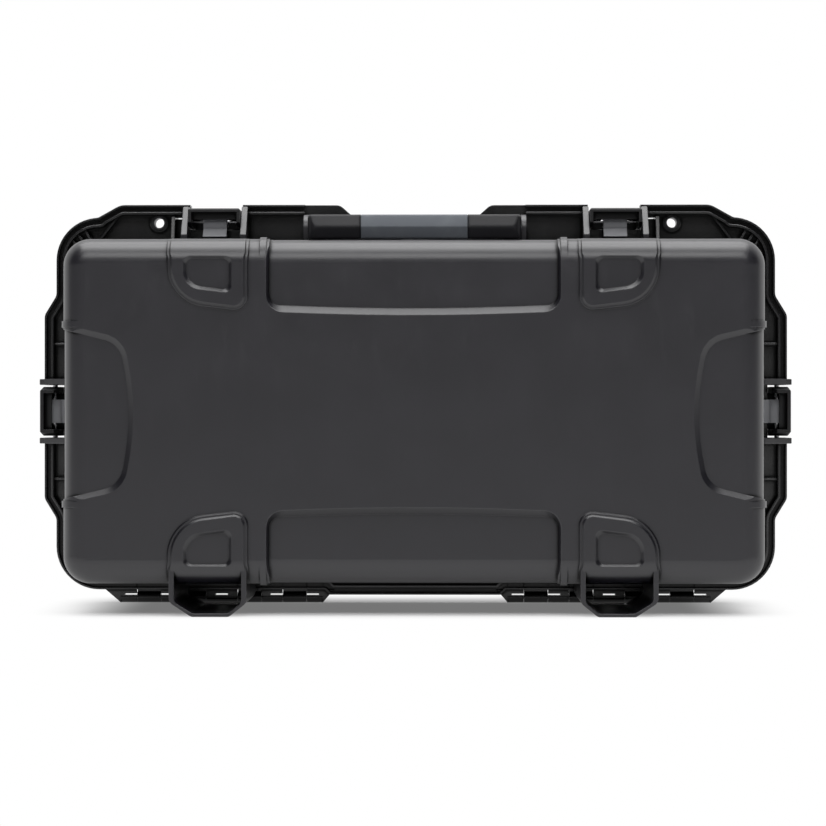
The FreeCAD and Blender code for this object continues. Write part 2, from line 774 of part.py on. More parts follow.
def feet(side, start, end):
    """Hollow feet between two depths, open at both ends."""
    y0, y1 = depth_y(side, start), depth_y(side, end)
    inner = column(foot_corners(foot_wall, foot_sole), y0 - side * overrun, y1 + side * overrun)
    return both(column(foot_corners(), y0, y1).cut(inner))


def handle_axis():
    """Y and Z of the handle's pivot."""
    return depth_y(BASE, handle_pivot_back), rim_top + handle_lift + handle_thick / 2


def ears():
    """Ears on the front wall that hold the handle's pins."""
    y, z = handle_axis()
    x0 = handle_half + ear_gap
    plate = block(x0, x0 + ear_thick, y - ear_radius, depth_y(BASE, mouth), rim_top - fin_root, z)
    return both(plate.fuse(rod(x0, x0 + ear_thick, y, z, ear_radius)))


def handle_section(inset, x_from, x_to):
    """Five-sided bar of the handle, made thinner on all sides by inset."""
    y, z = handle_axis()
    half = handle_thick / 2 - inset
    nose = y - handle_reach + inset
    brow = nose + handle_facet
    back = y - handle_reach + handle_bar - inset
    points = [(nose, z), (brow, z + half), (back, z + half), (back, z - half), (brow, z - half)]
    return prism_x(points, x_from, x_to)


def folded(shape):
    """A piece of the handle, turned about its pivot to lie along the drafted wall."""
    y, z = handle_axis()
    turned = shape.copy()
    turned.rotate(Vector(0, y, z), ALONG_X, draft_angle)
    return turned


def handle_yoke():
    """The handle's bar and arms in one U, with two leaning faces and softened long edges."""
    y, z = handle_axis()
    inner, half = handle_half - handle_arm, handle_thick / 2
    nose = y - handle_reach
    brow, back = nose + handle_facet, nose + handle_bar
    plan = outline([
        (-handle_half, -y, 0), (-handle_half, -nose, handle_corner), (handle_half, -nose, handle_corner),
        (handle_half, -y, 0), (inner, -y, 0), (inner, -back, handle_inner_corner),
        (-inner, -back, handle_inner_corner), (-inner, -y, 0),
    ], z - half)
    plan.rotate(ORIGIN, ALONG_X, math.degrees(quarter_turn))
    yoke = Part.Face(plan).extrude(ALONG_Z * handle_thick)
    leans = [
        prism_x([(nose, z), (brow, z + up * half), (brow, z + up * (half + overrun)),
                 (nose - overrun, z + up * (half + overrun)), (nose - overrun, z)], -handle_half, handle_half)
        for up in (1, -1)
    ]
    yoke = yoke.cut(leans)
    flat = edges_at("Z", z - half), edges_at("Z", z + half)
    return rounded(yoke, handle_edge_round,
                   lambda edge: edge.BoundBox.YMin < y - mouth and any(chosen(edge) for chosen in flat))


def handle_frame():
    """Black frame of the handle: bar, arms and barrels, slimmer under the grip."""
    y, z = handle_axis()
    barrel = rod(handle_half - handle_arm, handle_half, y, z, handle_thick / 2)
    barrels = both(rounded(barrel, handle_edge_round, lambda edge: edge.isClosed()))
    full = handle_section(0, -grip_half, grip_half)
    core = handle_section(grip_skin, -grip_half - overrun, grip_half + overrun)
    bores = both(rod(handle_half - handle_pin_depth, handle_half, y, z, handle_pin_radius + pin_slack))
    return folded(handle_yoke().multiFuse(barrels).cut([full.cut(core)] + bores))


def handle_grip():
    """Soft sleeve round the middle of the bar."""
    sleeve = handle_section(0, -grip_half, grip_half)
    ends = [edge for edge in sleeve.Edges if edge.BoundBox.XLength < mouth]
    sleeve = sleeve.makeChamfer(grip_edge, ends)
    return folded(sleeve.cut(handle_section(grip_skin, -grip_half, grip_half)))


def handle_pin():
    """Steel pin in the right ear."""
    y, z = handle_axis()
    return rod(handle_half - handle_pin_depth, handle_half + ear_gap + ear_thick, y, z, handle_pin_radius)


def on_valve(radius, low, high):
    """Cylinder on the valve's axis between two heights from the front wall's line."""
    foot = Vector(valve_x, depth_y(BASE, valve_back), rim_top + low)
    return Part.makeCylinder(radius, high - low, foot, ALONG_Z)


def chamber_limits():
    """Lower and upper height of the valve's chamber."""
    high = seat_high + valve_seal_thick + valve_head_thick - valve_roof
    return high - valve_chamber_tall, high


def valve_body():
    """Head and stem of the valve, with a chamber and side vents."""
    head_low = seat_high + valve_seal_thick
    tail = seat_low - valve_nut_thick - valve_tail
    head = on_valve(valve_head, head_low, head_low + valve_head_thick)
    body = head.fuse(on_valve(valve_stem, tail, head_low))
    low, high = chamber_limits()
    tools = [on_valve(valve_bore, tail, high), on_valve(valve_chamber, low, high)]
    center = Vector(valve_x, depth_y(BASE, valve_back), 0)
    for i in range(vent_count):
        vent = block(valve_x, valve_x + valve_head + overrun, center.y - vent_half, center.y + vent_half,
                     rim_top + low + membrane_thick, rim_top + high)
        vent.rotate(center, ALONG_Z, math.degrees(i * 2 * math.pi / vent_count))
        tools.append(vent)
    return body.cut(tools)


def valve_membrane():
    """Porous disc in the valve's chamber."""
    low, _ = chamber_limits()
    return on_valve(membrane_radius, low, low + membrane_thick)


def valve_seal():
    """Flat ring under the valve's head."""
    low, high = seat_high, seat_high + valve_seal_thick
    return on_valve(valve_seal_radius, low, high).cut(on_valve(valve_stem + valve_slack, low, high))


def valve_lock_nut():
    """Hexagonal nut inside the wall."""
    y, high = depth_y(BASE, valve_back), rim_top + seat_low
    turns = [i * 2 * math.pi / nut_sides for i in range(nut_sides)]
    points = [(valve_x + valve_nut * math.cos(turn), y + valve_nut * math.sin(turn)) for turn in turns]
    nut = prism_z(points, high - valve_nut_thick, high)
    return nut.cut(on_valve(valve_stem, seat_low - valve_nut_thick, seat_low))


def base_shell():
    """Moulded base tub with flange, feet, fins, ears and hinge knuckles."""
    body = tub(BASE, 0, face_depth[BASE], edge_radius).cut(area_tools(BASE))
    keeper = block(-latch_slot / 2, latch_slot / 2, depth_y(BASE, mouth), depth_y(BASE, keeper_length),
                   -fin_root, keeper_rise)
    extras = flange(BASE) + pads() + ridges(BASE) + fins(BASE) + seated(keeper)
    extras += on_padlocks(boss_radius, mouth, boss_tall, BASE)
    extras += feet(BASE, foot_back, base_depth - foot_front) + ears() + knuckles(BASE) + hinge_ends()
    body = body.multiFuse(extras).cut(hollow(BASE))
    tongue = ring(BASE, -(wall - tongue_thick) / 2, -(wall + tongue_thick) / 2, -tongue_tall, wall)
    body = body.multiFuse([on_valve(valve_seat, seat_low, seat_high), tongue])
    y, z = handle_axis()
    tools = on_padlocks(eyelet_bore, -overrun, boss_tall + overrun, BASE)
    tools.append(on_valve(valve_stem + valve_slack, seat_low - overrun, seat_high + overrun))
    tools += both(rod(handle_half, handle_half + ear_gap + ear_thick, y, z, handle_pin_radius))
    return body.cut(tools + hinge_tools(BASE))


def groove_outsets():
    """Outer and inner outsets of the lid's groove."""
    half = seal_width / 2 + seal_slack
    return half - wall / 2, -half - wall / 2


def groove_depth():
    """Depth of the groove's floor, which carries the seal."""
    return tongue_tall + seal_gap + seal_thick


def lid_shell():
    """Moulded lid tub with flange, feet, latch fins and hinge knuckles."""
    body = tub(LID, 0, face_depth[LID], edge_radius).cut(area_tools(LID))
    outer, inner = groove_outsets()
    extras = flange(LID) + ridges(LID) + fins(LID) + on_padlocks(boss_radius, mouth, boss_tall, LID)
    extras += feet(LID, lid_foot_back, lid_depth - lid_foot_front) + knuckles(LID)
    body = body.multiFuse(extras).cut(hollow(LID))
    body = body.fuse(ring(LID, outer + bead_wall, inner - bead_wall, mouth, groove_depth() + bead_roof))
    tools = on_padlocks(eyelet_bore, -overrun, boss_tall + overrun, LID)
    tools.append(ring(LID, outer, inner, -overrun, groove_depth()))
    bore = rod(-pin_head_end, pin_head_end, parting + pivot_setback, pivot_rise, latch_pin_radius)
    return body.cut(tools + seated(bore) + hinge_tools(LID))


def lid_gasket():
    """Rubber seal at the bottom of the lid's groove."""
    outer, inner = groove_outsets()
    return ring(LID, outer - seal_slack, inner + seal_slack, tongue_tall + seal_gap, groove_depth())


def from_pivot(points):
    """Points given as (reach towards the free end, height) from the latch pivot, as (y, z)."""
    return [(parting + pivot_setback - reach, pivot_rise + rise) for reach, rise in points]


def latch_block(half, reach_from, reach_to, rise_from, rise_to):
    """Box that is centred on the latch, placed from its pivot."""
    (y0, z0), (y1, z1) = from_pivot([(reach_from, rise_from), (reach_to, rise_to)])
    return block(-half, half, y0, y1, z0, z1)


def latch_rod(half, reach, rise, radius):
    """Cylinder across the latch, placed from its pivot."""
    y, z = from_pivot([(reach, rise)])[0]
    return rod(-half, half, y, z, radius)


def lever(half, end_half):
    """Hollow lever of a latch, with a window for its trigger."""
    side_view = from_pivot([
        (-lever_heel, -lever_lift), (-lever_heel, lever_lift), (-lever_heel + lever_lift, lever_top),
        (lever_reach, lever_top), (lever_reach, -lever_skirt + lever_lift),
        (lever_reach - 2 * lever_lift, -lever_skirt), (0, -lever_skirt),
    ])
    ends = from_pivot([(-lever_heel, 0), (lever_reach - lever_taper, 0), (lever_reach, 0)])
    heel_y, bend_y, end_y = [y for y, _ in ends]
    plan = [(half, heel_y), (half, bend_y), (end_half, end_y),
            (-end_half, end_y), (-half, bend_y), (-half, heel_y)]
    body = prism_z(plan, 0, far_out).common(prism_x(side_view, -half, half))
    body = rounded(body, lever_round, edges_at("Z", pivot_rise + lever_top))
    room = latch_block(end_half - lever_wall, lever_hub, lever_reach + overrun,
                       -lever_skirt - overrun, lever_top - lever_roof)
    room = room.cut(latch_block(half, window_end, window_end + lever_rib, -lever_rib_drop, lever_top))
    window = latch_block(window_half, window_start, window_end, 0, lever_top + overrun)
    bore = latch_rod(half + overrun, 0, 0, latch_pin_radius + pin_slack)
    return body.cut([room, window, bore, trigger_pin(half)])


def trigger_pin(half, slack=0):
    """Steel pin that the trigger rocks on, from one side wall of a lever to the other."""
    ends = half - trigger_pin_inset
    return latch_rod(ends, trigger_pivot_reach, -trigger_pivot_drop, trigger_pin_radius + slack)


def trigger():
    """Rocking trigger with a finger pad outside and the claw inside."""
    points = from_pivot([
        (trigger_back, -trigger_belly), (trigger_back, button_top), (trigger_face, button_top),
        (trigger_chin, -trigger_chin_drop), (trigger_throat, -trigger_throat_drop), (claw_reach, -claw_drop),
        (claw_root, -claw_drop), (claw_root, -trigger_belly),
    ])
    body = prism_x(points, -trigger_half, trigger_half)
    tools = [
        latch_block(trigger_half, start, start + button_groove_width, button_top - button_groove, button_top)
        for start in button_groove_starts
    ]
    tools.append(trigger_pin(lever_half, pin_slack))
    return body.cut(tools)


def trigger_spring():
    """Leaf spring between the lever's hub and the underside of the trigger."""
    leaf = latch_block(spring_half, lever_hub, spring_end, -trigger_belly - spring_strip, -trigger_belly)
    foot = latch_block(spring_half, lever_hub, lever_hub + spring_strip,
                       -trigger_belly, -trigger_belly + spring_foot)
    return leaf.fuse(foot)


def latch_pin():
    """Steel pin with a head at each end, through the lid's fins."""
    shaft = latch_rod(pin_head_end, 0, 0, latch_pin_radius)
    heads = latch_rod(pin_head_end, 0, 0, pin_head_radius)
    return shaft.fuse(heads.cut(latch_rod(pin_head_end - pin_head_thick, 0, 0, pin_head_radius)))


def hinge_pin():
    """Steel pin of the right hinge."""
    half = hinge_half - knuckle_gap
    return rod(hinge_center - half, hinge_center + half, parting, hinge_axis_z, hinge_pin_radius)


def export(name, shape):
    """Writes one node."""
    shape.exportStep(f"parts/{name}.step")
    print(f"{name:28s} solids {len(shape.Solids)} valid {shape.isValid()} volume {shape.Volume:.0f}")


def main():
    """Builds every piece of the case and writes it."""
    os.makedirs("parts", exist_ok=True)
    singles = {
        "base_shell": base_shell, "lid_shell": lid_shell, "lid_gasket": lid_gasket,
        "handle_frame": handle_frame, "handle_grip": handle_grip, "valve_body": valve_body,
        "valve_membrane": valve_membrane, "valve_seal": valve_seal, "valve_nut": valve_lock_nut,
    }
    for name, make in singles.items():
        export(name, make())
    pairs = {
        "hinge_pin": both(hinge_pin()),
        "handle_pin": both(handle_pin()),
        "padlock_eyelet_base": eyelets(BASE),
        "padlock_eyelet_lid": eyelets(LID),
    }
    for name, (right, left) in pairs.items():
        export(name + "_right", right)
        export(name + "_left", left)
    widths = {"front": (lever_half, lever_half), "side": (side_lever_half, side_lever_end)}
    for wall_name, (half, end_half) in widths.items():
        latch_pieces = {
            "latch_lever": lever(half, end_half),
            "latch_trigger": trigger(),
            "latch_pin": latch_pin(),
            "trigger_pin": trigger_pin(half),
            "trigger_spring": trigger_spring(),
        }
        for name, shape in latch_pieces.items():
            for place, seat in seats().items():
                if place.startswith(wall_name):
                    export(f"{name}_{place}", placed(shape, seat))


main()
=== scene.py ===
"""Looks of the hard case: finishes, finer small pieces, floor, lamps and camera.

Lengths are in metres. The case stands on its hinge side and its bottom face looks at the camera, along +Y.
"""

import json
import logging
import math
from dataclasses import dataclass, field
from enum import Enum
from typing import Optional, Sequence, Union

import bpy
from mathutils import Matrix, Vector


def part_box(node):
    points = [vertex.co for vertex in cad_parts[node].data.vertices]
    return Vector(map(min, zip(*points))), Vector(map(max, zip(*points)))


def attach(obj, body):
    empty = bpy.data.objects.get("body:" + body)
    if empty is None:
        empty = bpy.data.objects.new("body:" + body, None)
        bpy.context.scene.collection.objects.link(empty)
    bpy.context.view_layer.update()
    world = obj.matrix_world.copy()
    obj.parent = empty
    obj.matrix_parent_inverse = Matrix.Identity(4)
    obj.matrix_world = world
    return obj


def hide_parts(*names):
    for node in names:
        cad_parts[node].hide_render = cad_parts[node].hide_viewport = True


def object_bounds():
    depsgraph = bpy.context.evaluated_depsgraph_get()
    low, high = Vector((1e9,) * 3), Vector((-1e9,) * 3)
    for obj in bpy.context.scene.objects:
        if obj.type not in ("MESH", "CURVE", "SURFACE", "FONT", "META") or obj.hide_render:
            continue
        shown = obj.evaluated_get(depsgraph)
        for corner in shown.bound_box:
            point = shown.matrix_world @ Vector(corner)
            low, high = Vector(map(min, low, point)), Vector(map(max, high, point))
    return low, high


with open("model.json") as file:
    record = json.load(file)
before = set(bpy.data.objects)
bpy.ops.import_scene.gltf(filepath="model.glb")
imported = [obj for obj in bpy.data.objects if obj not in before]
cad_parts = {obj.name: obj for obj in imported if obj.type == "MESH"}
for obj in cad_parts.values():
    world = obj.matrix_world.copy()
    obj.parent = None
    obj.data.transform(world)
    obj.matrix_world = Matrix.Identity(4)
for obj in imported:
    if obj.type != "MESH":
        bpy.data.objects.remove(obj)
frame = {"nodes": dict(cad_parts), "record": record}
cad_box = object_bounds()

log = logging.getLogger("hard_case")

MM = 0.001
FULL_TURN = 2 * math.pi
RIGHT_ANGLE = math.pi / 2
PHOTO_SIDE = 826                 # pixels, width and height of the photograph
NOISE_MIDDLE = 0.5               # value that a noise lies round
EDGE_SAMPLES = 6                 # rays of a rounded surface direction
RECESS_SAMPLES = 8               # rays of a recess mask
WELD = 0.001 * MM                # points closer than this become one
SMOOTH_ANGLE = math.radians(35)  # faces that meet at less than this look smooth
SIDES = ("left", "right")
PLACES = ("front_left", "front_right", "side_left", "side_right")
X_AXIS = Vector((1, 0, 0))
Z_AXIS = Vector((0, 0, 1))
WHITE = (1.0, 1.0, 1.0, 1.0)

Triple = tuple[float, float, float]
Colour = Triple
Point = tuple[float, float]
Number = Union["Signal", float]


class Signal:
    """A number that changes over a surface. Arithmetic on it adds Math nodes."""

    def __init__(self, tree: "Tree", socket: bpy.types.NodeSocket) -> None:
        """Wraps a socket.

        Args:
            tree: the shader that the socket belongs to.
            socket: the output that carries the number.
        """
        self.tree = tree
        self.socket = socket

    def __add__(self, other: Number) -> "Signal":
        """Sum."""
        return self.tree.math("ADD", self, other)

    __radd__ = __add__

    def __sub__(self, other: Number) -> "Signal":
        """Difference."""
        return self.tree.math("SUBTRACT", self, other)

    def __rsub__(self, other: Number) -> "Signal":
        """Difference, with the signal taken away from a number."""
        return self.tree.math("SUBTRACT", other, self)

    def __mul__(self, other: Number) -> "Signal":
        """Product."""
        return self.tree.math("MULTIPLY", self, other)

    __rmul__ = __mul__

    def __pow__(self, other: Number) -> "Signal":
        """Power."""
        return self.tree.math("POWER", self, other)

    def over(self, low: float, high: float) -> "Signal":
        """Smooth step.

        Args:
            low: value that gives 0.
            high: value that gives 1.

        Returns:
            A signal from 0 to 1.
        """
        return self.tree.ranged(self, low, high)

    def swing(self, amount: float) -> "Signal":
        """Distance of a noise from its middle, times an amount."""
        return amount * (self - NOISE_MIDDLE)

    def limited(self) -> "Signal":
        """The signal held between 0 and 1."""
        return self.tree.math("ADD", self, 0.0, clamp=True)


@dataclass(frozen=True)
class Cloud:
    """Measures of a cloudy noise.

    Attributes:
        size: length of one cloud in metres.
        detail: how many finer layers are added.
        stretch: how much denser the noise is along each axis.
    """

    size: float
    detail: float = 2.0
    stretch: Triple = (1.0, 1.0, 1.0)


class Tree:
    """Node tree of one material, with one method for every node that isn't arithmetic."""

    def __init__(self, nodes: bpy.types.NodeTree) -> None:
        """Empties a node tree.

        Args:
            nodes: the tree to fill.
        """
        self.nodes = nodes
        nodes.nodes.clear()

    def node(self, kind: str, settings: Optional[dict] = None, **inputs: object) -> bpy.types.Node:
        """Adds a node.

        Args:
            kind: the node's type, without its ShaderNode prefix.
            settings: attributes, set before the sockets are filled.
            inputs: values or links by socket name, with underscores for spaces, or by iN for socket number N.

        Returns:
            The new node.
        """
        made = self.nodes.nodes.new("ShaderNode" + kind)
        for name, value in (settings or {}).items():
            setattr(made, name, value)
        for name, value in inputs.items():
            numbered = name[0] == "i" and name[1:].isdigit()
            socket = made.inputs[int(name[1:]) if numbered else name.replace("_", " ")]
            if isinstance(value, Signal):
                value = value.socket
            if isinstance(value, bpy.types.NodeSocket):
                self.nodes.links.new(value, socket)
            else:
                socket.default_value = value
        return made

    def math(self, operation: str, *values: Number, clamp: bool = False) -> Signal:
        """Adds a Math node.

        Args:
            operation: the node's operation.
            values: its inputs in order.
            clamp: holds the result between 0 and 1.

        Returns:
            Its result.
        """
        sockets = {f"i{at}": value for at, value in enumerate(values)}
        made = self.node("Math", {"operation": operation, "use_clamp": clamp}, **sockets)
        return Signal(self, made.outputs[0])

    def ranged(self, value: Signal, low: float, high: float) -> Signal:
        """Smooth step of a signal between two values.

        Args:
            value: the signal.
            low: value that gives 0.
            high: value that gives 1.

        Returns:
            A signal from 0 to 1.
        """
        settings = {"interpolation_type": "SMOOTHSTEP"}
        made = self.node("MapRange", settings, Value=value, From_Min=low, From_Max=high)
        return Signal(self, made.outputs["Result"])

    def vector(self, operation: str, first: object, second: object = (0.0, 0.0, 0.0)) -> bpy.types.NodeSocket:
        """Adds a Vector Math node with a vector as its result.

        Args:
            operation: the node's operation.
            first: a vector, or a link that carries one.
            second: a vector, or a link that carries one.

        Returns:
            Its result.
        """
        return self.node("VectorMath", {"operation": operation}, i0=first, i1=second).outputs["Vector"]

    def place(self) -> bpy.types.NodeSocket:
        """Position on the piece at rest, in metres, which moves with the piece."""
        return self.node("TexCoord").outputs["Object"]

    def along(self, axis: str) -> Signal:
        """One coordinate of the position at rest.

        Args:
            axis: X, Y or Z.

        Returns:
            The coordinate in metres.
        """
        return Signal(self, self.node("SeparateXYZ", None, Vector=self.place()).outputs[axis])

    def noise(self, cloud: Cloud) -> Signal:
        """Cloudy noise.

        Args:
            cloud: measures of the noise.

        Returns:
            A signal round NOISE_MIDDLE.
        """
        scaled = self.vector("MULTIPLY", self.place(), cloud.stretch)
        made = self.node("TexNoise", None, Vector=scaled, Scale=1 / cloud.size, Detail=cloud.detail)
        return Signal(self, made.outputs["Fac"])

    def cells(self, size: float) -> Signal:
        """Distance to the nearest point of an uneven grid, for pebbled grain.

        Args:
            size: width of one cell in metres.

        Returns:
            A signal from 0 to about 1.
        """
        made = self.node("TexVoronoi", {"feature": "SMOOTH_F1"}, Vector=self.place(), Scale=1 / size)
        return Signal(self, made.outputs["Distance"])

    def soft_normal(self, radius: float) -> bpy.types.NodeSocket:
        """Surface direction with every edge rounded by a radius in metres."""
        return self.node("Bevel", {"samples": EDGE_SAMPLES}, Radius=radius).outputs["Normal"]

    def edges(self, soft: bpy.types.NodeSocket) -> Signal:
        """Mask of the edges.

        Args:
            soft: the rounded surface direction.

        Returns:
            0 on flat faces and up to 1 on sharp edges.
        """
        true = self.node("NewGeometry").outputs["Normal"]
        made = self.node("VectorMath", {"operation": "DOT_PRODUCT"}, i0=soft, i1=true)
        return 1 - Signal(self, made.outputs["Value"])

    def crevices(self, distance: float) -> Signal:
        """Mask of corners and recesses.

        Args:
            distance: how far the surface looks round itself, in metres.

        Returns:
            0 in the open and up to 1 in deep recesses.
        """
        settings = {"samples": RECESS_SAMPLES, "only_local": True}
        made = self.node("AmbientOcclusion", settings, Distance=distance)
        return 1 - Signal(self, made.outputs["AO"])

    def mixed(self, factor: Number, first: object, second: object) -> bpy.types.NodeSocket:
        """Blend of two colours.

        Args:
            factor: 0 for the first and 1 for the second.
            first: a colour, or a link that carries one.
            second: a colour, or a link that carries one.

        Returns:
            The blended colour.
        """
        colours = [(*c, 1.0) if isinstance(c, tuple) else c for c in (first, second)]
        made = self.node("Mix", {"data_type": "RGBA"}, i0=factor, i6=colours[0], i7=colours[1])
        return made.outputs[2]

    def bump(self, height: Signal, depth: float, under: bpy.types.NodeSocket) -> bpy.types.NodeSocket:
        """Relief on top of a surface direction.

        Args:
            height: the relief, from 0 to 1.
            depth: how deep it is, in metres.
            under: the direction that it is added to.

        Returns:
            The new surface direction.
        """
        return self.node("Bump", None, Distance=depth, Height=height, Normal=under).outputs["Normal"]

    def close(self, shader: bpy.types.Node) -> None:
        """Links a shader to the material's output."""
        self.node("OutputMaterial", None, Surface=shader.outputs[0])


@dataclass(frozen=True)
class Finish:
    """What all finishes of the case share.

    Attributes:
        slot: the record's material slot.
        shade: name of a second finish of the same slot.
    """

    slot: str
    shade: str = ""

    def wear(self, tree: Tree) -> dict:
        """Sockets of the main shader.

        Args:
            tree: the material's tree.

        Returns:
            Values and links by socket name.
        """
        raise NotImplementedError

    def material(self) -> bpy.types.Material:
        """Makes the material, once for each finish.

        Returns:
            The finished material.
        """
        name = (self.shade or self.slot) + "_finish"
        made = bpy.data.materials.get(name)
        if made is None:
            made = bpy.data.materials.new(name)
            made.use_nodes = True
            tree = Tree(made.node_tree)
            tree.close(tree.node("BsdfPrincipled", None, **self.wear(tree)))
        return made

    def dress(self, piece: bpy.types.Object) -> bpy.types.Object:
        """Puts the finish on a piece, in place of what it had.

        Args:
            piece: the piece to dress.

        Returns:
            The same piece.
        """
        piece.data.materials.clear()
        piece.data.materials.append(self.material())
        for face in piece.data.polygons:
            face.material_index = 0
        return piece


@dataclass(frozen=True)
class AgeingAndShade:
    """How all moulded plastic of the case ages, with the painted shade of its recesses and grooves and the
    painted highlight of its edges.

    Attributes:
        patch: broad clouds of colour and gloss.
        patch_span: cloud values between which the colour changes.
        patch_light: how much lighter the light patches are.
        patch_rough: swing of the roughness with the clouds.
        edge_full: edge mask that counts as a full edge.
        edge_gloss: how much smoother an edge is, where wear has smoothed it.
        even_rub: share of the edge wear and painted highlight that is the same in all patches.
        scuff: noise of the small scratches, longest along Z.
        scuff_span: its values at which a scratch starts and is full.
        scuff_colour: how far a scratch turns to the worn colour.
        scuff_rough: how much rougher a scratch is.
        grain_rough: swing of the roughness with the pebbles.
        fine_grain: height of a finer grain on the pebbles.
        fine_detail: how many finer layers that grain has.
        recess_curve: power that keeps the painted shade of shallow recesses light.
        seam_span: crevice values at which the painted shade of a narrow groove starts and is full.
        seam_dark: how dark the painted shade of a full groove is.
        deepest: how far the deepest recess turns to the deep colour of painted shade.
        flow: slow unevenness of the faces.
        flow_depth: its depth, in metres.
    """

    patch: Cloud = Cloud(45 * MM, 3.0)
    patch_span: Point = (0.3, 0.7)
    patch_light: float = 1.14
    patch_rough: float = 0.10
    edge_full: float = 0.35
    edge_gloss: float = 0.10
    even_rub: float = 0.35
    scuff: Cloud = Cloud(9 * MM, 6.0, (1.0, 1.0, 0.25))
    scuff_span: Point = (0.56, 0.72)
    scuff_colour: float = 0.012
    scuff_rough: float = 0.03
    grain_rough: float = 0.08
    fine_grain: float = 0.4
    fine_detail: float = 2.0
    recess_curve: float = 1.3
    seam_span: Point = (0.04, 0.35)
    seam_dark: float = 0.9
    deepest: float = 0.9
    flow: Cloud = Cloud(160 * MM, 1.0)
    flow_depth: float = 0.5 * MM


@dataclass(frozen=True)
class Moulded(Finish):
    """Injection-moulded plastic.

    Attributes:
        colour: colour of the open faces.
        worn: lighter colour of the edges and scratches, partly wear and partly painted highlight.
        deep: dark colour that recesses tend to, painted shade.
        rough: roughness of the open faces.
        shine: specular level.
        grain: width of one pebble of the grain, in metres.
        grain_depth: depth of the grain, in metres.
        edge: radius of the smallest edges, in metres.
        recess: how far the painted shade of a recess reaches, in metres.
        seam: how far the painted shade of a narrow groove reaches, in metres.
        gloss_loss: how much of its reflection a deep recess loses, painted shade given as a dark metal.
        rub: how strongly the edges are lightened by wear and by a painted highlight.
        ageing: wear and painted light that all moulded plastic shares.
    """

    colour: Colour = (0.02, 0.02, 0.02)
    worn: Colour = (0.05, 0.05, 0.05)
    deep: Colour = (0.004, 0.004, 0.004)
    rough: float = 0.5
    shine: float = 0.4
    grain: float = 0.7 * MM
    grain_depth: float = 0.03 * MM
    edge: float = 0.6 * MM
    recess: float = 14 * MM
    seam: float = 4 * MM
    gloss_loss: float = 0.8
    rub: float = 0.5
    ageing: AgeingAndShade = AgeingAndShade()

    def ground(self, tree: Tree, patches: Signal) -> tuple[bpy.types.NodeSocket, Signal]:
        """Colour and roughness of the open faces.

        Args:
            tree: the material's tree.
            patches: broad clouds that both follow.

        Returns:
            The mottled colour and the roughness.
        """
        shared_look = self.ageing
        light = tuple(part * shared_look.patch_light for part in self.colour)
        mottled = tree.mixed(patches.over(*shared_look.patch_span), self.colour, light)
        return mottled, self.rough + patches.swing(shared_look.patch_rough)

    def wear(self, tree: Tree) -> dict:
        """Sockets of the main shader: mottled colour, edges lighter from wear and from a painted highlight,
        painted shade in recesses and grooves, pebbled grain.

        Recesses and grooves get painted shade: their colour turns to the deep colour, and their reflection is
        cut by making them partly a dark metal, as if they mirrored nothing but their own walls.

        Args:
            tree: the material's tree.

        Returns:
            Values and links by socket name.
        """
        shared_look = self.ageing
        soft = tree.soft_normal(self.edge)
        edges = tree.edges(soft).over(0.0, shared_look.edge_full)
        patches = tree.noise(shared_look.patch)
        scuffs = tree.noise(shared_look.scuff).over(*shared_look.scuff_span)
        pebbles = tree.cells(self.grain)
        uneven_edge_share = shared_look.even_rub + (1 - shared_look.even_rub) * patches
        # painted highlight: edges turn lighter partly from wear and partly as a painted highlight; scratches
        # are wear
        wear_and_highlight_mask = (edges * uneven_edge_share * self.rub + scuffs * shared_look.scuff_colour).limited()
        mottled, smooth = self.ground(tree, patches)
        lit = tree.mixed(wear_and_highlight_mask, mottled, self.worn)
        # painted shade: ambient occlusion darkens narrow grooves and recesses
        groove_shade = tree.crevices(self.seam).over(*shared_look.seam_span)
        shaded = (tree.crevices(self.recess) ** shared_look.recess_curve + shared_look.seam_dark * groove_shade).limited()
        rough = smooth - shared_look.edge_gloss * edges + pebbles.swing(shared_look.grain_rough) + shared_look.scuff_rough * scuffs
        fine = shared_look.fine_grain * tree.noise(Cloud(self.grain / 2, shared_look.fine_detail))
        relief = tree.bump(pebbles + fine, self.grain_depth, soft)
        return {
            # painted shade: recesses turn to the deep colour, and Metallic cuts their reflection
            "Base_Color": tree.mixed(shaded * shared_look.deepest, lit, self.deep),
            "Metallic": shaded * self.gloss_loss,
            "Roughness": rough,
            "Specular_IOR_Level": self.shine,
            "Normal": tree.bump(tree.noise(shared_look.flow), shared_look.flow_depth, relief),
        }


@dataclass(frozen=True)
class TubPlastic(Moulded):
    """Plastic of the tubs: fine texture on the outside, smooth on the rim, whose colour is darkened with
    painted shade.

    Attributes:
        parting: Y of the plane in which the tubs meet.
        rim: distances from it at which the smooth rim ends and is full.
        rim_colour: darker colour of the rim's open faces, painted shade.
        rim_gloss: how much smoother the rim is.
    """

    parting: float = 44 * MM
    rim: Point = (30 * MM, 22 * MM)
    rim_colour: Colour = (0.006, 0.006, 0.0065)
    rim_gloss: float = 0.12

    def ground(self, tree: Tree, patches: Signal) -> tuple[bpy.types.NodeSocket, Signal]:
        """Colour and roughness of the open faces, with the rim's painted shade and smoothness mixed in.

        Args:
            tree: the material's tree.
            patches: broad clouds that both follow.

        Returns:
            The colour and the roughness.
        """
        colour, rough = super().ground(tree, patches)
        rim = tree.math("ABSOLUTE", tree.along("Y") - self.parting).over(*self.rim)
        # painted shade: the rim's colour is darkened; its lower roughness is the smoother moulding
        return tree.mixed(rim, colour, self.rim_colour), rough - self.rim_gloss * rim


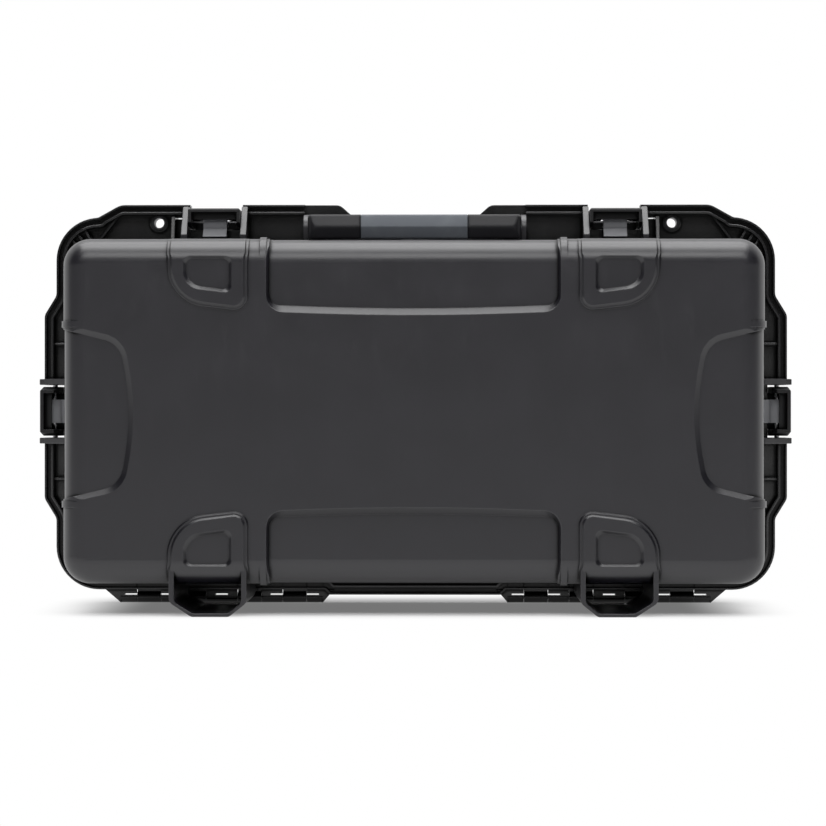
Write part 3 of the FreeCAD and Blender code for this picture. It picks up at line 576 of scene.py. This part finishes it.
@dataclass(frozen=True)
class Rubber(Finish):
    """Soft rubber or closed-cell seal.

    Attributes:
        colour: colour of the clean faces.
        dusty: colour of the dust that it holds.
        rough: roughness.
        pore: width of one pore, in metres.
        pore_depth: depth of the pores, in metres.
        pore_rough: swing of the roughness with the pores.
        edge: radius of the smallest edges, in metres.
        edge_full: edge mask that counts as a full edge.
        edge_dust: how dusty a full edge is.
        cloud: noise of the dust.
        cloud_span: its values at which the dust starts and is full.
        cloud_dust: how dusty a full cloud is.
        cloud_rough: swing of the roughness with the clouds.
        shine: specular level.
        sheen: strength of the soft light at grazing angles.
        sheen_rough: how soft that light is.
    """

    colour: Colour = (0.02, 0.02, 0.02)
    dusty: Colour = (0.05, 0.05, 0.05)
    rough: float = 0.75
    pore: float = 0.5 * MM
    pore_depth: float = 0.05 * MM
    pore_rough: float = 0.1
    edge: float = 0.5 * MM
    edge_full: float = 0.4
    edge_dust: float = 0.4
    cloud: Cloud = Cloud(22 * MM, 4.0)
    cloud_span: Point = (0.45, 0.8)
    cloud_dust: float = 0.45
    cloud_rough: float = 0.12
    shine: float = 0.35
    sheen: float = 0.12
    sheen_rough: float = 0.5

    def wear(self, tree: Tree) -> dict:
        """Sockets of the main shader: dusty colour, fine pores, shoulders that wear has lightened.

        Args:
            tree: the material's tree.

        Returns:
            Values and links by socket name.
        """
        soft = tree.soft_normal(self.edge)
        edges = tree.edges(soft).over(0.0, self.edge_full)
        clouds = tree.noise(self.cloud)
        pores = tree.cells(self.pore)
        dusty = (clouds.over(*self.cloud_span) * self.cloud_dust + edges * self.edge_dust).limited()
        return {
            "Base_Color": tree.mixed(dusty, self.colour, self.dusty),
            "Roughness": self.rough + clouds.swing(self.cloud_rough) + pores.swing(self.pore_rough),
            "Specular_IOR_Level": self.shine,
            "Sheen_Weight": self.sheen,
            "Sheen_Roughness": self.sheen_rough,
            "Normal": tree.bump(pores, self.pore_depth, soft),
        }


class Grind(Enum):
    """Direction in which a metal piece was drawn or turned, as how dense its marks are along X, Y and Z."""

    ALONG_Y = (1.0, 0.04, 1.0)
    EVEN = (1.0, 1.0, 1.0)


@dataclass(frozen=True)
class Steel(Finish):
    """Drawn or turned stainless steel.

    Attributes:
        colour: colour of the bright faces.
        dull: colour of the handled patches.
        bright: colour of the edges.
        rough: roughness of the bright faces.
        metal: metallic level.
        grind: direction of the tool marks.
        line: width of one tool mark, in metres.
        line_detail: how many finer layers the tool marks have.
        line_depth: their depth, in metres.
        line_rough: swing of the roughness with them.
        edge: radius of the smallest edges, in metres.
        edge_full: edge mask that counts as a full edge.
        edge_clean: how much less dull a full edge is.
        edge_gloss: how much smoother it is.
        patch: noise of the handled patches.
        patch_span: its values at which a patch starts and is full.
        patch_dull: how dull a full patch is.
        patch_rough: swing of the roughness with the patches.
    """

    colour: Colour = (0.58, 0.58, 0.6)
    dull: Colour = (0.36, 0.35, 0.34)
    bright: Colour = (0.66, 0.66, 0.68)
    rough: float = 0.28
    metal: float = 0.95
    grind: Grind = Grind.EVEN
    line: float = 0.25 * MM
    line_detail: float = 3.0
    line_depth: float = 0.01 * MM
    line_rough: float = 0.12
    edge: float = 0.15 * MM
    edge_full: float = 0.3
    edge_clean: float = 0.5
    edge_gloss: float = 0.06
    patch: Cloud = Cloud(5 * MM, 4.0)
    patch_span: Point = (0.4, 0.75)
    patch_dull: float = 0.7
    patch_rough: float = 0.2

    def wear(self, tree: Tree) -> dict:
        """Sockets of the main shader: drawn lines, dull patches, bright edges.

        Args:
            tree: the material's tree.

        Returns:
            Values and links by socket name.
        """
        soft = tree.soft_normal(self.edge)
        edges = tree.edges(soft).over(0.0, self.edge_full)
        patches = tree.noise(self.patch)
        lines = tree.noise(Cloud(self.line, self.line_detail, self.grind.value))
        dull = (patches.over(*self.patch_span) * self.patch_dull - edges * self.edge_clean).limited()
        uneven = patches.swing(self.patch_rough) + lines.swing(self.line_rough)
        return {
            "Base_Color": tree.mixed(edges, tree.mixed(dull, self.colour, self.dull), self.bright),
            "Metallic": self.metal,
            "Roughness": self.rough + uneven - self.edge_gloss * edges,
            "Normal": tree.bump(lines, self.line_depth, soft),
        }


@dataclass(frozen=True)
class PorousDisc(Finish):
    """Pressed fibre disc that lets air through and keeps water out.

    Attributes:
        colour: colour of the raised fibres.
        pit: colour between the fibres.
        along: noise of the fibres along Y.
        across: noise of the fibres along X.
        span: product of both at which a fibre starts and is full.
        depth: height of the fibres, in metres.
        edge: radius of the smallest edges, in metres.
        rough: roughness between the fibres.
        smoother: how much smoother a fibre is.
    """

    colour: Colour = (0.72, 0.71, 0.68)
    pit: Colour = (0.4, 0.39, 0.37)
    along: Cloud = Cloud(0.6 * MM, 4.0, (1.0, 0.2, 1.0))
    across: Cloud = Cloud(0.6 * MM, 4.0, (0.2, 1.0, 1.0))
    span: Point = (0.15, 0.4)
    depth: float = 0.08 * MM
    edge: float = 0.1 * MM
    rough: float = 0.85
    smoother: float = 0.1

    def wear(self, tree: Tree) -> dict:
        """Sockets of the main shader: crossing fibres.

        Args:
            tree: the material's tree.

        Returns:
            Values and links by socket name.
        """
        raised = (tree.noise(self.along) * tree.noise(self.across)).over(*self.span)
        return {
            "Base_Color": tree.mixed(raised, self.pit, self.colour),
            "Roughness": self.rough - self.smoother * raised,
            "Normal": tree.bump(raised, self.depth, tree.soft_normal(self.edge)),
        }


# In the moulded finishes, deep, recess and gloss_loss set the painted shade of recesses and grooves.
# The shell's worn colour, far lighter than its own colour, is mostly a painted highlight on its edges.
SHELL = TubPlastic("shell", colour=(0.0090, 0.0084, 0.0122), worn=(0.105, 0.105, 0.115), rough=0.34,
                   shine=0.8, edge=1.2 * MM, rub=0.8)
LEVER = Moulded("lever", colour=(0.014, 0.014, 0.015), worn=(0.05, 0.05, 0.052), rough=0.4, shine=0.35,
                grain=0.4 * MM, grain_depth=0.015 * MM, recess=6 * MM, rub=0.5)
TRIGGER = Moulded("trigger", colour=(0.33, 0.334, 0.352), worn=(0.42, 0.42, 0.44), deep=(0.10, 0.10, 0.107),
                  rough=0.42, shine=0.4, grain=0.4 * MM, grain_depth=0.012 * MM, edge=0.4 * MM, recess=4 * MM,
                  gloss_loss=0.2, rub=0.5)
HANDLE = Moulded("handle", colour=(0.007, 0.0068, 0.0092), worn=(0.025, 0.025, 0.029), rough=0.36, shine=0.35,
                 grain=0.5 * MM, grain_depth=0.015 * MM, edge=4.0 * MM, recess=6 * MM, rub=0.2)
VALVE = Moulded("valve", colour=(0.02, 0.02, 0.022), worn=(0.06, 0.06, 0.063), rough=0.38, shine=0.4,
                grain=0.4 * MM, grain_depth=0.01 * MM, edge=0.4 * MM, recess=3 * MM, rub=0.5)
GRIP = Rubber("grip", colour=(0.118, 0.130, 0.148), dusty=(0.19, 0.205, 0.222), rough=0.62, pore=0.6 * MM,
              pore_depth=0.03 * MM, edge=0.8 * MM)
GASKET = Rubber("gasket", colour=(0.012, 0.012, 0.012), dusty=(0.04, 0.04, 0.038), rough=0.85)
STEEL = Steel("steel")
BLACKENED = Steel("steel", "blackened", colour=(0.045, 0.045, 0.048), dull=(0.03, 0.03, 0.031),
                  bright=(0.5, 0.5, 0.52), rough=0.42, edge=0.25 * MM)
SPRING = Steel("spring", colour=(0.42, 0.42, 0.44), dull=(0.25, 0.24, 0.23), rough=0.35, grind=Grind.ALONG_Y)
MEMBRANE = PorousDisc("membrane")


def ring_piece(name: str, rings: Sequence[Sequence[Vector]]) -> bpy.types.Object:
    """Skins a closed row of rings with quads.

    Args:
        name: name of the new piece.
        rings: rings of as many points each, all in the same order. The last one meets the first.

    Returns:
        The new piece, smooth where its faces meet at less than SMOOTH_ANGLE.
    """
    count = len(rings[0])
    points = [point for ring in rings for point in ring]
    faces = []
    for at in range(len(rings)):
        here, there = at * count, (at + 1) % len(rings) * count
        for i in range(count):
            j = (i + 1) % count
            faces.append((here + i, here + j, there + j, there + i))
    mesh = bpy.data.meshes.new(name)
    mesh.from_pydata(points, [], faces)
    mesh.validate()
    piece = bpy.data.objects.new(name, mesh)
    bpy.context.scene.collection.objects.link(piece)
    tidy_skin(piece)
    return piece


def tidy_skin(piece: bpy.types.Object) -> None:
    """Turns a piece's faces outwards and smooths its shallow edges.

    Args:
        piece: the piece to tidy.
    """
    bpy.ops.object.select_all(action="DESELECT")
    bpy.context.view_layer.objects.active = piece
    piece.select_set(True)
    bpy.ops.object.mode_set(mode="EDIT")
    bpy.ops.mesh.select_all(action="SELECT")
    bpy.ops.mesh.remove_doubles(threshold=WELD)
    bpy.ops.mesh.normals_make_consistent(inside=False)
    bpy.ops.object.mode_set(mode="OBJECT")
    bpy.ops.object.shade_smooth_by_angle(angle=SMOOTH_ANGLE)
    piece.select_set(False)


def softened(corners: Sequence[Triple], steps: int = 5) -> list[Point]:
    """Closed outline with rounded corners.

    Args:
        corners: (across, up, radius) of each corner in order.
        steps: straight pieces in each rounded corner.

    Returns:
        The outline's points.
    """
    found = []
    for at, (x, y, radius) in enumerate(corners):
        here = Vector((x, y))
        if not radius:
            found.append((x, y))
            continue
        back = (Vector(corners[at - 1][:2]) - here).normalized()
        fore = (Vector(corners[(at + 1) % len(corners)][:2]) - here).normalized()
        half = back.angle(fore) / 2
        start, end = here + back * (radius / math.tan(half)), here + fore * (radius / math.tan(half))
        centre = here + (back + fore).normalized() * (radius / math.sin(half))
        turn = (start - centre).angle_signed(end - centre)
        for step in range(steps + 1):
            spun = Matrix.Rotation(-turn * step / steps, 2) @ (start - centre)
            found.append(tuple(centre + spun))
    return found


def lathed(
    name: str, profile: Sequence[Point], foot: Vector, axis: Vector, segments: int = 48,
) -> bpy.types.Object:
    """Turns a closed profile round an axis.

    Args:
        name: name of the new piece.
        profile: (radius, height) points in order. A radius of 0 lies on the axis.
        foot: where height 0 lies.
        axis: direction of the heights.
        segments: steps round the axis.

    Returns:
        The new piece.
    """
    upright = axis.normalized()
    across = upright.orthogonal().normalized()
    beside = upright.cross(across)
    rings = []
    for step in range(segments):
        angle = FULL_TURN * step / segments
        out = across * math.cos(angle) + beside * math.sin(angle)
        rings.append([foot + out * radius + upright * height for radius, height in profile])
    return ring_piece(name, rings)


def node_box(node: str) -> tuple[Vector, Vector, Vector]:
    """Lowest corner, highest corner and middle of a construction node."""
    low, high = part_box(node)
    return low, high, (low + high) / 2


def joint_place(name: str) -> Vector:
    """A point on a joint's axis."""
    joints = frame["record"]["behaviour"]["joints"]
    return Vector(next(joint["pos_m"] for joint in joints if joint["name"] == name))


def body_of(node: str) -> str:
    """Body that a construction node belongs to."""
    bodies = frame["record"]["behaviour"]["bodies"]
    return next(body for body, nodes in bodies.items() if node in nodes)


def stand_in(piece: bpy.types.Object, node: str, finish: Finish) -> None:
    """Lets a finer piece take a node's place.

    Args:
        piece: the finer piece.
        node: the construction node that it stands for.
        finish: what it is dressed in.
    """
    finish.dress(piece)
    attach(piece, body_of(node))
    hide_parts(node)
    log.info("piece %s stands for %s", piece.name, node)


def keep(node: str, finish: Finish) -> None:
    """Dresses a construction node whose shape is right.

    Args:
        node: name of the node.
        finish: what it is dressed in.
    """
    finish.dress(frame["nodes"][node])
    log.info("node %s dressed in %s", node, finish.slot)


def pin_span(node: str, axis: Vector) -> tuple[float, float, Vector]:
    """Half length along an axis, radius and middle of a round node."""
    low, high, middle = node_box(node)
    return (high - low).dot(axis) / 2, (high.y - low.y) / 2, middle


def turn_pin(name: str, node: str, axis: Vector, end_round: float, segments: int = 24) -> None:
    """Lets a steel pin with rounded ends take a plain pin's place.

    Args:
        name: name of the new pin.
        node: the construction node that it stands for.
        axis: direction of the pin.
        end_round: radius at the pin's ends.
        segments: steps round the axis.
    """
    half, radius, middle = pin_span(node, axis)
    profile = softened([(0, -half, 0), (radius, -half, end_round), (radius, half, end_round), (0, half, 0)])
    stand_in(lathed(name, profile, middle, axis, segments), node, STEEL)


@dataclass
class Tubs:
    """The base and the lid with the seal between them.

    Attributes:
        seal_width: width of the seal.
        seal_lip: radius of the seal's soft edges.
        seal_crown: how far the seal's middle stands above its edges.
        corner: radius of the rim's corners at the seal's outer side.
        corner_steps: straight pieces in each corner of the seal.
    """

    seal_width: float = 4.8 * MM
    seal_lip: float = 0.9 * MM
    seal_crown: float = 0.5 * MM
    corner: float = 29.6 * MM
    corner_steps: int = 14

    def build(self) -> None:
        """Dresses both tubs and lays the seal."""
        keep("base_shell", SHELL)
        keep("lid_shell", SHELL)
        stand_in(self.seal(), "lid_gasket", GASKET)

    def seal(self) -> bpy.types.Object:
        """Sweeps a section with soft edges and a crowned face round the rim.

        Returns:
            The seal.
        """
        low, high, middle = node_box("lid_gasket")
        wide, tall = (high.x - low.x) / 2, (high.z - low.z) / 2
        width, thick, edge = self.seal_width, high.y - low.y, self.seal_crown
        section = softened([
            (0, edge, self.seal_lip), (width / 2, 0, 2 * self.seal_lip), (width, edge, self.seal_lip),
            (width, thick, 0), (0, thick, 0),
        ])
        rings = []
        for across, up, start in ((1, 1, 0), (-1, 1, 1), (-1, -1, 2), (1, -1, 3)):
            hub = Vector((across * (wide - self.corner), 0, up * (tall - self.corner))) + middle
            for step in range(self.corner_steps + 1):
                angle = RIGHT_ANGLE * (start + step / self.corner_steps)
                out = Vector((math.cos(angle), 0, math.sin(angle)))
                ring = [hub + out * (self.corner - inset) for inset, _ in section]
                for point, (_, rise) in zip(ring, section):
                    point.y = low.y + rise
                rings.append(ring)
        return ring_piece("lid_seal", rings)


@dataclass
class Hinges:
    """Pins of the two hinges, with rounded ends.

    Attributes:
        end_round: radius at the pins' ends.
    """

    end_round: float = 0.7 * MM

    def build(self) -> None:
        """Turns both pins."""
        for side in SIDES:
            turn_pin(f"hinge_rod_{side}", f"hinge_pin_{side}", X_AXIS, self.end_round)


@dataclass
class Handle:
    """Folding handle with its sleeve and pins.

    Attributes:
        reach: from the handle's axis to the sleeve's outer side.
        bar: thickness of the sleeve along that reach.
        thick: thickness of the sleeve across it.
        lean: turn of the folded handle about its axis.
        facet: how far the sleeve's front and back edges lean.
        corner: radius of the sleeve's long edges.
        nose: radius of the sleeve's middle edge.
        skin: thickness of the sleeve.
        lip: radius at the sleeve's ends.
        lip_steps: rings in each rounded end.
        pin_round: radius at the pins' ends.
        pin_segments: steps round each pin.
    """

    reach: float = 62.0 * MM
    bar: float = 22.0 * MM
    thick: float = 22.5 * MM
    lean: float = math.radians(2.0)
    facet: float = 3.4 * MM
    corner: float = 2.6 * MM
    nose: float = 3.0 * MM
    skin: float = 3.0 * MM
    lip: float = 1.2 * MM
    lip_steps: int = 4
    pin_round: float = 0.6 * MM
    pin_segments: int = 32

    def build(self) -> None:
        """Dresses the frame and builds the sleeve and the pins."""
        keep("handle_frame", HANDLE)
        stand_in(self.sleeve(), "handle_grip", GRIP)
        for side in SIDES:
            node = f"handle_pin_{side}"
            turn_pin(f"handle_rod_{side}", node, X_AXIS, self.pin_round, self.pin_segments)

    def section(self, inset: float) -> list[Point]:
        """Rounded five-sided section of the sleeve.

        Args:
            inset: how far it is drawn in on all sides.

        Returns:
            Its (y, z) points from the handle's axis.
        """
        half, nose, back = self.thick / 2 - inset, inset - self.reach, self.bar - self.reach - inset
        outline = softened([
            (nose, 0, self.nose), (nose + self.facet, half, self.corner), (back, half, self.corner),
            (back, -half, self.corner), (nose + self.facet, -half, self.corner),
        ])
        return [tuple(Matrix.Rotation(self.lean, 2) @ Vector(point)) for point in outline]

    def sleeve(self) -> bpy.types.Object:
        """Sweeps the section along the bar, drawn in towards both ends.

        Returns:
            The sleeve.
        """
        _, high, _ = node_box("handle_grip")
        axis = joint_place("handle_hinge")
        right = []
        for step in range(self.lip_steps + 1):
            angle = RIGHT_ANGLE * step / self.lip_steps
            right.append((high.x - self.lip * (1 - math.sin(angle)), self.lip * (1 - math.cos(angle))))
        right.append((high.x, self.skin))
        left = [(-x, inset) for x, inset in reversed(right)]
        rings = []
        for x, inset in left + right:
            rings.append([Vector((x, axis.y + y, axis.z + z)) for y, z in self.section(inset)])
        return ring_piece("grip_sleeve", rings)


@dataclass
class Padlocks:
    """Steel eyelets of the two padlock holes, with rolled lips.

    Attributes:
        bore: radius of the hole.
        wall: thickness of the eyelet's tube.
        lip_radius: outer radius of the lip.
        lip_thick: thickness of the lip.
        roll: radius of the lip's rolled edge.
    """

    bore: float = 4.75 * MM
    wall: float = 1.3 * MM
    lip_radius: float = 7.2 * MM
    lip_thick: float = 1.0 * MM
    roll: float = 0.45 * MM

    def build(self) -> None:
        """Turns the four eyelets."""
        for half, direction in (("base", -1), ("lid", 1)):
            for side in SIDES:
                self.eyelet(half, side, direction)

    def eyelet(self, half: str, side: str, direction: int) -> None:
        """Turns one eyelet.

        Args:
            half: base or lid.
            side: left or right.
            direction: 1 where the lip looks along +Y, otherwise -1.
        """
        node = f"padlock_eyelet_{half}_{side}"
        low, high, middle = node_box(node)
        length = high.y - low.y
        foot = Vector((middle.x, high.y if direction < 0 else low.y, middle.z))
        neck = length - self.lip_thick
        tube = self.bore + self.wall
        profile = softened([
            (self.bore, 0, 0), (tube, 0, 0), (tube, neck, 0), (self.lip_radius, neck, self.roll / 2),
            (self.lip_radius, length, self.roll), (self.bore, length, 2 * self.roll),
        ])
        ring = lathed(f"eyelet_{half}_{side}", profile, foot, Vector((0, direction, 0)))
        stand_in(ring, node, BLACKENED)


@dataclass
class Latch:
    """One lever latch.

    Attributes:
        place: where it sits on the case.
        shaft: radius of the latch pin.
        head: radius of its heads.
        head_thick: thickness of its heads.
        dome: radius of the heads' outer edges.
        blunt: radius of the heads' inner edges.
        pin_segments: steps round the latch pin.
        pin_round: radius at the trigger pin's ends.
    """

    place: str
    shaft: float = 2.5 * MM
    head: float = 3.6 * MM
    head_thick: float = 1.8 * MM
    dome: float = 1.2 * MM
    blunt: float = 0.2 * MM
    pin_segments: int = 32
    pin_round: float = 0.3 * MM

    def axis(self) -> Vector:
        """Direction of the latch's pins."""
        return X_AXIS if self.place.startswith("front") else Z_AXIS

    def build(self) -> None:
        """Dresses the lever, trigger and spring, and turns the pins."""
        keep(f"latch_lever_{self.place}", LEVER)
        keep(f"latch_trigger_{self.place}", TRIGGER)
        keep(f"trigger_spring_{self.place}", SPRING)
        self.latch_pin()
        turn_pin(f"trigger_axle_{self.place}", f"trigger_pin_{self.place}", self.axis(), self.pin_round)

    def latch_pin(self) -> None:
        """Turns the latch pin with its domed heads."""
        node = f"latch_pin_{self.place}"
        half, _, middle = pin_span(node, self.axis())
        neck = half - self.head_thick
        profile = softened([
            (0, -half, 0), (self.head, -half, self.dome), (self.head, -neck, self.blunt),
            (self.shaft, -neck, 0), (self.shaft, neck, 0),
            (self.head, neck, self.blunt), (self.head, half, self.dome), (0, half, 0),
        ])
        axle = lathed(f"latch_axle_{self.place}", profile, middle, self.axis(), self.pin_segments)
        stand_in(axle, node, STEEL)


@dataclass
class Valve:
    """Pressure valve in the front wall.

    Attributes:
        finishes: finish of each node.
    """

    finishes: dict[str, Finish] = field(default_factory=lambda: {
        "valve_body": VALVE, "valve_nut": VALVE, "valve_seal": GASKET, "valve_membrane": MEMBRANE,
    })

    def build(self) -> None:
        """Dresses the valve's nodes."""
        for node, finish in self.finishes.items():
            keep(node, finish)


@dataclass(frozen=True)
class Lamp:
    """One soft lamp.

    Attributes:
        name: name of the lamp.
        place: where it hangs.
        size: width and height of its face.
        power: power in watts.
        aim: the point that it looks at.
    """

    name: str
    place: Triple
    size: Point
    power: float
    aim: Triple = (0.0, 0.0, 0.2)

    def hang(self) -> None:
        """Hangs the lamp."""
        light = bpy.data.lights.new(self.name, "AREA")
        light.shape = "RECTANGLE"
        light.size, light.size_y = self.size
        light.energy = self.power
        lamp = bpy.data.objects.new(self.name, light)
        lamp.location = self.place
        lamp.rotation_euler = (Vector(self.aim) - Vector(self.place)).to_track_quat("-Z", "Y").to_euler()
        bpy.context.scene.collection.objects.link(lamp)


LAMPS = (
    Lamp("overhead", (0.0, 0.15, 1.8), (2.2, 1.2), 24.5),
    Lamp("overhead_front", (0.0, -0.5, 1.8), (2.2, 0.8), 16.0),
    Lamp("above_camera", (0.0, -1.55, 1.45), (2.2, 0.7), 17.5),
)


@dataclass
class Studio:
    """White floor and backdrop, two broad overhead lamps, one above the camera, and the camera.

    Attributes:
        floor_half: half width of the floor.
        distance: camera to the pads' face.
        metres_per_pixel: size of a photograph's pixel at the pads' face.
        clip: nearest and farthest distance that the camera sees.
        camera_x: camera's place along X.
        camera_turn: how far the camera looks towards -X, in radians.
        camera_height: the camera's height, which is the photograph's middle row.
        room_level: light of the dim room in front of the backdrop.
        backdrop: where the backdrop starts and is full, as Y of a direction.
        floor_colour: colour of the floor.
        shade: share of the floor below the case that is plain white to the camera and to reflections.
        shade_middle: middle of the shaded floor.
        shade_half: half width and half depth of the shaded floor.
        fade: distance outside it over which the floor turns plain white.
    """

    floor_half: float = 20.0
    distance: float = 2.5
    metres_per_pixel: float = 0.0009
    clip: Point = (0.05, 100.0)
    camera_x: float = 0.0318
    camera_turn: float = 0.01283
    camera_height: float = 0.1839
    room_level: float = 0.03
    backdrop: Point = (-0.05, 0.25)
    floor_colour: Colour = (0.80, 0.80, 0.80)
    shade: float = 0.17
    shade_middle: Triple = (0.0, 0.03, 0.0)
    shade_half: Triple = (0.25, 0.07, 0.0)
    fade: float = 0.11

    def build(self) -> None:
        """Sets the stage."""
        self.floor()
        self.world()
        for lamp in LAMPS:
            lamp.hang()
        self.camera()
        bpy.context.scene.view_settings.view_transform = "Standard"
        log.info("studio is set")

    def rays(self, tree: Tree) -> tuple[Signal, Signal]:
        """Tells the rays apart that reach the background.

        Args:
            tree: the tree of the background.

        Returns:
            Masks of the rays from the camera, straight or through something, and of those off a glossy face.
        """
        kinds = tree.node("LightPath").outputs
        names = ("Camera", "Transmission", "Glossy")
        camera, through, glossy = (Signal(tree, kinds[f"Is {name} Ray"]) for name in names)
        return (camera + through).limited(), glossy

    def floor(self) -> None:
        """Lays a floor that keeps the shadow below the case and is plain white round it."""
        half = self.floor_half
        corners = [Vector((x, y, 0)) for x, y in ((-half, -half), (half, -half), (half, half), (-half, half))]
        mesh = bpy.data.meshes.new("floor")
        mesh.from_pydata(corners, [], [(0, 1, 2, 3)])
        floor = bpy.data.objects.new("floor", mesh)
        bpy.context.scene.collection.objects.link(floor)
        material = bpy.data.materials.new("floor_paper")
        material.use_nodes = True
        tree = Tree(material.node_tree)
        paper = tree.node("BsdfDiffuse", None, Color=(*self.floor_colour, 1.0))
        white = tree.node("Emission", None, Color=WHITE, Strength=1.0)
        straight, glossy = self.rays(tree)
        from_middle = tree.vector("ABSOLUTE", tree.vector("SUBTRACT", tree.place(), self.shade_middle))
        outside = tree.vector("MAXIMUM", tree.vector("SUBTRACT", from_middle, self.shade_half))
        away = Signal(tree, tree.node("VectorMath", {"operation": "LENGTH"}, i0=outside).outputs["Value"])
        plain = self.shade + (1 - self.shade) * away.over(0.0, self.fade)
        factor = (straight + glossy).limited() * plain
        tree.close(tree.node("MixShader", None, i0=factor, i1=paper.outputs[0], i2=white.outputs[0]))
        mesh.materials.append(material)

    def world(self) -> None:
        """Makes the surroundings white to the camera and in the mirrored backdrop, but dim as a light."""
        world = bpy.data.worlds.new("studio")
        world.use_nodes = True
        bpy.context.scene.world = world
        tree = Tree(world.node_tree)
        straight, glossy = self.rays(tree)
        direction = tree.node("TexCoord").outputs["Generated"]
        depth = Signal(tree, tree.node("SeparateXYZ", None, Vector=direction).outputs["Y"])
        behind = depth.over(*self.backdrop)
        level = self.room_level
        strength = level + (1 - level) * (straight + glossy * behind).limited()
        light = tree.node("Background", None, Color=WHITE, Strength=strength)
        tree.node("OutputWorld", None, Surface=light.outputs[0])

    def camera(self) -> None:
        """Puts the camera where the photograph was taken."""
        data = bpy.data.cameras.new("camera")
        field_width = PHOTO_SIDE * self.metres_per_pixel
        data.lens = data.sensor_width * self.distance / field_width
        data.clip_start, data.clip_end = self.clip
        camera = bpy.data.objects.new("camera", data)
        camera.location = (self.camera_x, cad_box[0].y - self.distance, self.camera_height)
        camera.rotation_euler = (RIGHT_ANGLE, 0.0, self.camera_turn)
        bpy.context.scene.collection.objects.link(camera)
        bpy.context.scene.camera = camera


def main() -> None:
    """Builds the case's sub-assemblies in order and sets the studio."""
    logging.basicConfig(level=logging.INFO, format="%(name)s: %(message)s")
    assemblies = [Tubs(), Hinges(), Handle(), Padlocks(), Valve()]
    assemblies += [Latch(place) for place in PLACES]
    for assembly in assemblies:
        assembly.build()
        log.info("%s is built", type(assembly).__name__)
    Studio().build()


if __name__ == "__main__":
    main()
